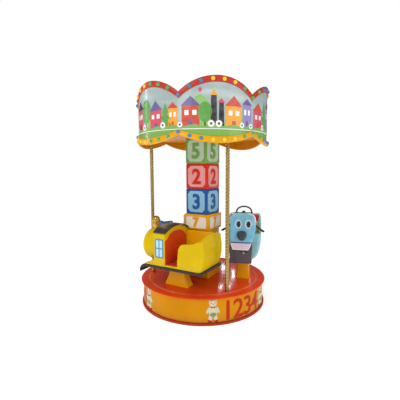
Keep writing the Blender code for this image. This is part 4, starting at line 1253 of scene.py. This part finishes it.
def frieze():
    """The three layouts, each on two lobes that face each other."""
    for number, layout in enumerate(towns()):
        place = on_drum(CROWN_RADIUS, CROWN_ANGLE + number * 2 * LOBE_HALF)
        shapes = [(raised(filled(outline), -PAINT_LAYER, PAINT_LAYER * layer, place, 0.016), colour)
                  for outline, layer, colour in layout]
        piece(f"frieze_{number + 1}", repeated(painted(shapes), "frieze", 2), "frieze", "sky_gelcoat")


def crown():
    """Panels, trims, lamps, picture and ceiling."""
    for number in range(LOBES):
        piece(f"lobe_{number + 1}", crown_panel(number), ("sky", "inner_yellow"), "sky_gelcoat",
              replaces=[f"crown_panel_{number + 1}"])
    trims()
    lamps("top_lamps", lambda angle: top_edge(angle) - TRIM_HEIGHT / 2, 0.0085, 0.0, "blue_gelcoat")
    lamps("lower_lamps", lambda angle: low_edge(angle) + low_trim_height(angle) / 2, 0.0125, 0.25,
          "green_gelcoat")
    frieze()
    dress("ceiling", "inner_yellow")


# Poles

POLE_RADIUS = 0.0200
POLE_TURN = 0.096
POLE_GROOVE = 0.0019


def poles():
    """Barley-twist poles from deck to ceiling."""
    for number in (1, 2, 3):
        low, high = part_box(f"pole_{number}")
        foot = Vector(((low.x + high.x) / 2, (low.y + high.y) / 2, low.z))
        start = bpy.data.meshes.new("pole")
        made = grown(start, BARLEY_TWIST, {"Foot": foot, "Height": high.z - low.z, "Radius": POLE_RADIUS,
                                           "Groove": POLE_GROOVE, "Turn length": POLE_TURN, "Lobes": 3.0,
                                           "Rings": 400, "Look": LOOKS["brass"]})
        piece(f"twisted_pole_{number}", made, "brass", "brass", replaces=[f"pole_{number}"], sharp=70.0)


# Locomotives


def hollow_lined(mesh, stand):
    """Marks the faces inside the bucket seat for its pale lining."""
    back = stand.inverted()
    for face in mesh.polygons:
        spot = back @ face.center
        half, rear = seat_outside(spot.z)
        inside = (abs(spot.y - SATCHEL_CENTRE) < half - BUCKET_SKIN and spot.z > BUCKET_FLOOR
                  and rear + BUCKET_SKIN < spot.x < BUCKET_FRONT)
        behind = inside and spot.x < BUCKET_TOP[0] and spot.z > BUCKET_TOP[1]
        face.material_index = 2 if behind else 1 if inside else 0
    return mesh


def lined(mesh, stand):
    """Marks the inner walls and the floor of a seat tub for their colours."""
    back = stand.inverted()
    margin = 0.0025
    side = TRAIN_HALF_WIDTH - TRAIN_WALL + margin
    for face in mesh.polygons:
        spot = back @ face.center
        inside = (abs(spot.y - TRAIN_CENTRE) < side and spot.x > TRAIN_REAR + TRAIN_WALL - margin
                  and spot.z > TRAIN_FLOOR_TOP - margin)
        on_floor = inside and spot.z < TRAIN_FLOOR_TOP + 2 * margin
        face.material_index = 2 if on_floor else 1 if inside else 0
    return mesh


def window(stand, side):
    """A blue frame with four pale panes on one side of the cab; side is 1 outside, -1 inside."""
    low, high = (0.100, 0.612), (0.203, 0.808)
    bar, post = 0.009, 0.012
    origin = Vector((0.0, TRAIN_CENTRE + side * TRAIN_HALF_WIDTH, 0.0))
    place = on_plane(stand @ face_frame(origin, (-side, 0.0, 0.0), (0.0, 0.0, 1.0)))
    across_middle = (low[0] + high[0]) / 2
    up_middle = (low[1] + high[1]) / 2
    panes = []
    for left, right in ((low[0] + post, across_middle - bar / 2), (across_middle + bar / 2, high[0] - post)):
        for foot, top in ((low[1] + post, up_middle - bar / 2), (up_middle + bar / 2, high[1] - post)):
            panes.append(rounded_box((left, foot), (right, top), 0.006))

    def flipped(outline):
        return [(-side * x, z) for x, z in outline]

    frame_mesh = raised(filled(flipped(rounded_box(low, high, 0.012)), *map(flipped, panes)), -0.001, 0.004,
                        place)
    glass = joined([raised(filled(flipped(pane)), -0.001, 0.0015, place) for pane in panes])
    return frame_mesh, glass


def boiler(stand):
    """Round boiler with a lipped, domed front."""
    front = 0.432
    edge = 0.060
    lip = 0.0025
    shoulder = front - edge - 0.020
    profile = [(0.0, front), (BOILER_RADIUS * 0.35, front - 0.001),
               *curve_points((BOILER_RADIUS - edge, front - edge), edge, pi / 2, 0.0, 8),
               (BOILER_RADIUS, shoulder + 0.012), (BOILER_RADIUS + lip, shoulder + 0.010),
               (BOILER_RADIUS + lip, shoulder), (BOILER_RADIUS, shoulder - 0.002), (BOILER_RADIUS, CAB_FRONT),
               (0.0, CAB_FRONT)]
    lie = Matrix.Translation((0.0, TRAIN_CENTRE, BOILER_LEVEL)) @ Matrix.Rotation(pi / 2, 4, "Y")
    return moved(lathe(profile, 72), stand @ lie)


def chimney(stand):
    """Fluted chimney with a ring and a domed cap."""
    foot = BOILER_LEVEL + BOILER_RADIUS
    rows = [(0.046, -0.003), (0.046, 0.008), (0.040, 0.012)]
    rows += [(0.0430, 0.012 + 0.056 * t / 4) for t in range(1, 4)]
    rows += [(0.040, 0.068), (0.046, 0.072), (0.047, 0.083), (0.046, 0.094), (0.041, 0.098)]
    rows += curve_points((0.0, 0.098), (0.040, 0.034), 0.15, pi / 2 - 0.12, 6)
    steps = 48
    rings = []
    for radius, rise in rows:
        fluted = 0.012 < rise < 0.068 or rise > 0.1
        ring = []
        for step in range(steps):
            reach = radius * (1.0 - (0.045 * (0.5 + 0.5 * cos(step * pi / 2)) if fluted else 0.0))
            ring.append((reach * cos(tau * step / steps), reach * sin(tau * step / steps), foot + rise))
        rings.append(ring)
    return moved(skinned(rings), stand @ Matrix.Translation((CHIMNEY_ALONG, TRAIN_CENTRE, 0.0)))


def flared_foot(stand, centre, rows, grooves):
    """A pedestal swept outwards to its foot; grooves run down its rear face."""
    levels = 22
    low, high = DECK_HIGH + 0.0003, BODY_BOTTOM - 0.0003
    rings = []
    for step in range(levels + 1):
        share = step / levels
        level = low + (high - low) * share
        ease = (1.0 - min(1.0, max(0.0, (share - 0.05) / 0.80))) ** 1.7
        along = rows[1][0] + (rows[0][0] - rows[1][0]) * ease
        across = rows[1][1] + (rows[0][1] - rows[1][1]) * ease
        outline = rounded_box((centre[0] - along, centre[1] - across), (centre[0] + along, centre[1] + across),
                              0.014, 5)
        back = [(centre[0] - along, centre[1] + (across - 0.014) * (1 - 2 * t / 24)) for t in range(1, 24)]
        for spot, (x, y) in enumerate(back):
            for groove in grooves:
                depth = 0.006 * max(0.0, 1.0 - abs((y - centre[1]) / across - groove) / 0.14)
                back[spot] = (back[spot][0] + depth, y)
        seam = outline[:18] + back + outline[18:]
        rings.append([(x, y, level) for x, y in seam])
    return moved(skinned(rings), stand)


def locomotive(prefix, stand, shell, lining, slot):
    """One engine figure: every piece of its body, window, boiler and chimney."""
    name = prefix + "train_"
    piece(name + "foot", flared_foot(stand, (0.060, 0.415), ((0.1435, 0.059), (0.088, 0.048)), (-0.36, 0.36)),
          "orange", "orange_gelcoat", replaces=[name + "pedestal"])
    piece(name + "edge_strip", eased(name + "bumper", 0.006), "black", "black_rubber",
          replaces=[name + "bumper"])
    piece(name + "seat_shell", lined(remoulded(name + "tub", 0.005, 5), stand),
          (shell, lining, "bulkhead_red"), slot,
          replaces=[name + "tub"], sharp=60.0)
    piece(name + "cab_shell", eased(name + "cab", 0.008), shell, slot, replaces=[name + "cab"])
    piece(name + "red_wall", eased(name + "bulkhead", 0.002, 2), "bulkhead_red", "bright_red_gelcoat",
          replaces=[name + "bulkhead"])
    piece(name + "barrel_roof", eased(name + "roof", 0.007), "roof", "black_rubber",
          replaces=[name + "roof"])
    piece(name + "boiler_drum", boiler(stand), shell, slot, replaces=[name + "boiler"], sharp=50.0)
    piece(name + "stack", chimney(stand), "gold", "gold_paint", replaces=[name + "chimney"], sharp=60.0)
    piece(name + "bench", eased(name + "seat", 0.012), "lining", "orange_gelcoat", replaces=[name + "seat"])
    sides = [window(stand, 1), window(stand, -1)]
    piece(name + "window_frames", joined([frame_mesh for frame_mesh, _ in sides]), "window_blue",
          "blue_gelcoat")
    piece(name + "window_panes", joined([glass for _, glass in sides]), "pane", "light_blue_gelcoat")


# Satchel figure

FACE_LEAN = (FACE_LOW - FACE_HIGH) / (HEAD_TOP - HEAD_LOW)
FACE_TILT = atan(FACE_LEAN)
BOX_SHIFT = -0.015
MOUTH_LOW = 0.658
MOUTH_BACK = 0.2165
BOX_FRONT = 0.268
HEAD_HALF = 0.139
HEAD_CORNER = 0.075
HANDLE_ALONG = 0.106
HANDLE_SHIFT = 0.010
HANDLE_HALF = 0.082
HANDLE_RISE = 0.059
HANDLE_STEM = HEAD_TOP + 0.0103
HANDLE_RADIUS = 0.0086
SEAT_LEVELS = ((0.497, 0.105, -0.160), (0.515, 0.135, -0.180), (0.545, 0.158, -0.192), (0.600, 0.178, -0.205),
               (0.680, 0.192, -0.215), (0.780, 0.197, -0.224), (0.900, 0.194, -0.231), (0.955, 0.188, -0.235),
               (0.982, 0.172, -0.236))
SEAT_SIDE_LINE = ((0.056, 0.796), (-0.060, 0.800), (-0.120, 0.820), (-0.160, 0.900), (-0.172, 0.950),
                  (-0.190, 0.974))
BUCKET_SKIN = 0.014
BUCKET_FRONT, BUCKET_FLOOR = 0.042, 0.580
BUCKET_TOP = (-0.190, 0.930)
BAR_ALONG = 0.0512
BAR_SHIFT = -0.008
BAR_ROUTE = ((0.229, 0.823), (0.204, 0.837), (0.160, 0.871), (0.120, 0.890))


def face_plane():
    """Frame of the leaning face: across to the viewer's right, up along it, origin at its lower middle."""
    return SATCHEL_FRAME @ face_frame((FACE_LOW, SATCHEL_CENTRE, HEAD_LOW), (0.0, 1.0, 0.0),
                                      (-sin(FACE_TILT), 0.0, cos(FACE_TILT)))


def face_up(level):
    """How far up the leaning face a height lies."""
    return (level - HEAD_LOW) / cos(FACE_TILT)


def eyes():
    """Pale rings, white eyeballs and dark pupils."""
    place = on_plane(face_plane())
    rings, whites, pupils = [], [], []
    for across in (-0.048, 0.058):
        up = face_up(0.919)
        rim = [(across + 0.0305 * cos(tau * t / 40), up + 0.0430 * sin(tau * t / 40)) for t in range(40)]
        rings.append(rod([place(x, y, 0.001) for x, y in rim], 0.0045, 10, closed=True))
        whites.append(blob((across, up), (0.032, 0.0445), 0.007, place))
        pupils.append(blob((across + 0.005, up - 0.002), (0.0245, 0.0365), 0.0125, place))
    piece("satchel_eye_rings", joined(rings), "white", "white_gelcoat")
    piece("satchel_eyes", joined(whites), "pale_blue", "light_blue_gelcoat")
    piece("satchel_pupils", joined(pupils), "pupil", "dark_grey_gelcoat")


def nose():
    """A rounded three-cornered nose, wide at the top."""
    place = on_plane(face_plane())
    centre = (-0.008, face_up(0.797))
    steps = 36
    rings = []
    for share, rise in ((1.0, -0.002), (1.0, 0.004), (0.95, 0.014), (0.82, 0.022), (0.58, 0.028), (0.25, 0.030)):
        ring = []
        for step in range(steps):
            angle = tau * step / steps
            narrow = 1.0 - 0.28 * max(0.0, -sin(angle)) ** 1.2
            square = (abs(cos(angle)) ** 2.8 + abs(sin(angle)) ** 2.8) ** (-1.0 / 2.8)
            across = 0.051 * cos(angle) * square * narrow * (1.0 + 0.10 * sin(angle))
            up = 0.052 * sin(angle) * square
            ring.append(place(centre[0] + across * share, centre[1] + up * share, rise))
        rings.append(ring)
    piece("satchel_button_nose", skinned(rings), "nose", "dark_grey_gelcoat", replaces=["satchel_nose"],
          sharp=60.0)


def mouth():
    """Pink tongue plate with a white lip on three sides."""
    slope = Vector((MOUTH_BACK - BOX_FRONT, 0.0, HEAD_LOW - MOUTH_LOW))
    height = slope.length
    plane = SATCHEL_FRAME @ face_frame((BOX_FRONT, SATCHEL_CENTRE + BOX_SHIFT, MOUTH_LOW), (0.0, 1.0, 0.0),
                                       slope)
    low, high = 0.092, 0.112
    corner = 0.022
    outline = [(-high, height - 0.004), (-low - 0.002, corner), *curve_points(
        (-low + corner, corner), corner, pi, 3 * pi / 2, 5), *curve_points(
        (low - corner, corner), corner, 3 * pi / 2, tau, 5), (low + 0.002, corner), (high, height - 0.004)]
    place = on_plane(plane)
    piece("satchel_mouth_plate", raised(filled(outline), 0.0003, 0.005, place), "bag_pink", "pink_gelcoat",
          replaces=["satchel_mouth"])
    lip = smooth_route([place(x * 0.97, y + 0.002, 0.005) for x, y in outline], 3)
    piece("satchel_lip", rod(lip, 0.0036, 10), "white", "white_gelcoat")


def head():
    """The bag's block head with its piping, top seam, lock and handle."""
    piece("satchel_block_head", remoulded("satchel_head", 0.005, 8), "bag_blue", "light_blue_gelcoat",
          replaces=["satchel_head"], sharp=60.0)
    mid = SATCHEL_CENTRE
    inset = 0.006
    # The right piping is white as a painted highlight, glare on the lit shoulder; the left piping is teal.
    for side, look, name in ((1, "white", "right"), (-1, "bag_teal", "left")):
        route = curve_points((HEAD_HALF - HEAD_CORNER, HEAD_TOP - HEAD_CORNER), HEAD_CORNER - inset, -0.15,
                             pi / 2, 8)
        line = [SATCHEL_FRAME @ Vector((FACE_LOW - FACE_LEAN * (z - HEAD_LOW) - 0.006, mid + side * y, z))
                for y, z in route]
        piece(f"satchel_piping_{name}", rod(smooth_route(line, 4), 0.0052, 12), look, "white_gelcoat")
    top = [SATCHEL_FRAME @ Vector((HANDLE_ALONG, mid + y, HEAD_TOP - 0.001)) for y in (-0.088, 0.0, 0.088)]
    seam = rod(smooth_route(top, 6), 0.0062, 10)
    lock = [(0.0, 0.023), (0.010, 0.022), (0.017, 0.017), (0.0195, 0.008), (0.020, -0.003), (0.0, -0.003)]
    stud = moved(lathe(lock, 32), SATCHEL_FRAME @ Matrix.Translation((HANDLE_ALONG, mid + 0.006, HEAD_TOP)))
    piece("satchel_top_seam", joined([seam, stud]), "grip", "dark_grey_gelcoat", sharp=50.0)
    grasp = mid + HANDLE_SHIFT
    ends = [(HANDLE_ALONG, grasp + side * HANDLE_HALF, HEAD_TOP - 0.002) for side in (-1, 1)]
    bow = [(HANDLE_ALONG, grasp + y, HANDLE_STEM + z)
           for y, z in curve_points((0.0, 0.0), (HANDLE_HALF, HANDLE_RISE), pi, 0.0, 20)]
    grip = rod([SATCHEL_FRAME @ Vector(point) for point in (ends[0], *bow, ends[1])], HANDLE_RADIUS, 14)
    foot = [(0.0, 0.006), (0.0105, 0.006), (0.0135, 0.003), (0.014, -0.003), (0.0, -0.003)]
    feet = [moved(lathe(foot, 24), SATCHEL_FRAME @ Matrix.Translation((x, y, HEAD_TOP))) for x, y, _ in ends]
    piece("satchel_carry_handle", joined([grip, *feet]), "grip", "dark_grey_gelcoat",
          replaces=["satchel_handle"], sharp=50.0)


def handlebar():
    """Bent bar behind the head, with rubber grips."""
    mid = SATCHEL_CENTRE + BAR_SHIFT
    right = [(BAR_ALONG, mid + across, level) for across, level in BAR_ROUTE]
    left = [(x, 2 * mid - y, z) for x, y, z in reversed(right)]
    route = smooth_route([SATCHEL_FRAME @ Vector(point) for point in right + left], 6)
    piece("satchel_bar", rod(route, 0.0095, 16), "grip", "dark_grey_gelcoat",
          replaces=["satchel_handlebar"])
    grips = []
    for end in (route[:7], route[-7:]):
        grips.append(rod(end, 0.0118, 20))
        grips += [rod([spot, spot + (end[-1] - end[0]).normalized() * 0.002], 0.0128, 20) for spot in end[1:-1:2]]
    piece("satchel_grips", joined(grips), "black", "black_rubber")


def seat_outside(level):
    """Half width of the seat tub's outside at a height, and where its back is."""
    for first, second in zip(SEAT_LEVELS, SEAT_LEVELS[1:]):
        if first[0] <= level <= second[0]:
            share = (level - first[0]) / (second[0] - first[0])
            return tuple(first[n] + (second[n] - first[n]) * share for n in (1, 2))
    return SEAT_LEVELS[-1][1:]


def seat():
    """Bucket seat with a cream rim, red pad and red backrest."""
    piece("satchel_bucket", hollow_lined(remoulded("satchel_seat_tub", 0.005, 6), SATCHEL_FRAME),
          ("bag_teal", "bag_lining", "faded_red"), "light_blue_gelcoat", replaces=["satchel_seat_tub"], sharp=60.0)
    side = [(x, seat_outside(z)[0] - 0.016, z + 0.001) for x, z in SEAT_SIDE_LINE]
    back = [(-0.222, 0.155, 0.9835), (-0.230, 0.120, 0.9835), (-0.230, 0.0, 0.9835)]
    half = side[:-1] + [(-0.200, 0.171, 0.980)] + back
    route = [(x, SATCHEL_CENTRE + y, z) for x, y, z in half]
    route += [(x, SATCHEL_CENTRE - y, z) for x, y, z in reversed(half[:-1])]
    line = smooth_route([SATCHEL_FRAME @ Vector(point) for point in route], 5)
    piece("satchel_rim", rod(line, 0.0045, 12), "bag_teal", "light_blue_gelcoat")
    piece("satchel_seat_pad", remoulded("satchel_seat", 0.005, 10), "bright_red", "bright_red_gelcoat",
          replaces=["satchel_seat"], sharp=60.0)
    piece("satchel_back_pad", remoulded("satchel_backrest", 0.004, 8), "back_red", "bright_red_gelcoat",
          replaces=["satchel_backrest"], sharp=60.0)


def satchel():
    """Every piece of the school-bag figure."""
    centre = (0.0, SATCHEL_CENTRE)
    piece("satchel_foot", flared_foot(SATCHEL_FRAME, centre, ((0.074, 0.074), (0.064, 0.066)), ()), "orange",
          "orange_gelcoat", replaces=["satchel_pedestal"])
    piece("satchel_dark_box", eased("satchel_box", 0.007), "bag_dark", "dark_grey_gelcoat",
          replaces=["satchel_box"])
    head()
    eyes()
    nose()
    mouth()
    handlebar()
    seat()
    front = on_plane(SATCHEL_FRAME @ face_frame((BOX_FRONT, SATCHEL_CENTRE, 0.0), (0, 1, 0), (0, 0, 1)))
    plates = [raised(filled(rounded_box((across - 0.018, 0.632), (across + 0.018, 0.647), 0.005)), -0.001,
                     0.004, front) for across in (-0.012, 0.044)]
    piece("satchel_latch_plates", joined(plates), "pupil", "dark_grey_gelcoat")
    piece("satchel_latch", blob((0.018, 0.626), (0.010, 0.008), 0.006, front), "chrome", "grey_steel")


# Camera, light and floor


def camera():
    """Standing eye height in front of the ride, looking slightly down."""
    distance, height = 3.5872, 1.5304
    focal_pixels = 313.0
    frame_pixels = 400.0
    shift_pixels = -2.9
    data = bpy.data.cameras.new("camera")
    data.sensor_width = 36.0
    data.lens = data.sensor_width * focal_pixels / frame_pixels
    data.shift_x = shift_pixels / frame_pixels
    item = linked("camera", data)
    turn = Matrix.Rotation(pi / 2 - radians(5.98), 4, "X") @ Matrix.Rotation(-radians(0.13), 4, "Z")
    item.matrix_world = Matrix.Translation((0.0, -distance, height)) @ turn
    bpy.context.scene.camera = item


def softbox(name, spot, target, size, power):
    """A rectangular soft light that looks at a point."""
    data = bpy.data.lights.new(name, "AREA")
    data.shape = "RECTANGLE"
    data.size, data.size_y = size
    data.energy = power
    item = linked(name, data)
    item.location = spot
    item.rotation_euler = (Vector(target) - Vector(spot)).to_track_quat("-Z", "Y").to_euler()


def studio():
    """White surroundings, soft boxes and a pale floor."""
    world = bpy.data.worlds.new("studio")
    bpy.context.scene.world = world
    world.use_nodes = True
    walls = world.node_tree.nodes["Background"]
    walls.inputs["Color"].default_value = (1.0, 1.0, 1.0, 1.0)
    tree = world.node_tree
    rays = add_node(tree, "ShaderNodeLightPath").outputs
    lit = ranged(tree, rays["Is Camera Ray"], 0.0, 1.0, 0.62, 1.0)
    flagged = ranged(tree, rays["Is Glossy Ray"], 0.0, 1.0, 0.0, 0.50)
    tree.links.new(calculation(tree, "SUBTRACT", lit, flagged), walls.inputs["Strength"])
    softbox("key", (-2.4, -4.4, 4.0), (0.0, 0.0, 1.1), (2.4, 2.4), 84.0)
    softbox("fill", (3.6, -2.6, 2.6), (0.0, 0.0, 1.1), (1.8, 2.4), 34.0)
    softbox("left_strip", (-3.9, 1.0, 2.6), (0.0, 0.0, 2.0), (0.25, 2.6), 18.0)
    softbox("back_window", (0.48, 3.4, 1.28), (0.26, 0.27, 0.28), (0.09, 0.20), 0.7)
    softbox("side_window", (0.71, 3.4, 1.48), (0.36, 0.0, 0.28), (0.07, 0.22), 0.7)
    for number, (across, level) in enumerate(((0.44, 1.97), (0.65, 1.93), (1.10, 1.72))):
        softbox(f"far_lamp_{number + 1}", (across, 3.4, level), (across / 2, 0.0, 0.28), (0.06, 0.035), 0.8)
    shape = bmesh.new()
    bmesh.ops.create_grid(shape, x_segments=1, y_segments=1, size=14.0)
    floor_mesh = mesh_of(shape, "floor")
    floor = linked("floor", floor_mesh)
    made, tree, shader = finish("pale_floor", specular=0.0)
    tone = mixed(tree, object_noise(tree, 0.8, 3.0), (0.86, 0.86, 0.86), (0.90, 0.90, 0.895))
    tree.links.new(tone, shader.inputs["Base Color"])
    shader.inputs["Roughness"].default_value = 0.6
    shader.inputs["Emission Color"].default_value = (1.0, 1.0, 1.0, 1.0)
    seen = add_node(tree, "ShaderNodeLightPath").outputs["Is Camera Ray"]
    tree.links.new(ranged(tree, seen, 0.0, 1.0, 0.40, 0.46), shader.inputs["Emission Strength"])
    floor_mesh.materials.append(made)
    floor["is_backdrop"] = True


NODE_SLOTS = {"block_green": "green_gelcoat", "block_red": "bright_red_gelcoat", "block_blue": "blue_gelcoat",
              "block_yellow": "orange_yellow_gelcoat"}

camera()
studio()
base()
deck()
column()
crown()
poles()
locomotive("", TRAIN_FRAME, "train_yellow", "lining", "train_yellow_gelcoat")
locomotive("blue_", BLUE_FRAME, "train_blue", "train_blue", "train_blue_gelcoat")
satchel()
bpy.context.scene.view_settings.view_transform = "Standard"

[[list(corner) for corner in box] for box in (cad_box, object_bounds())]
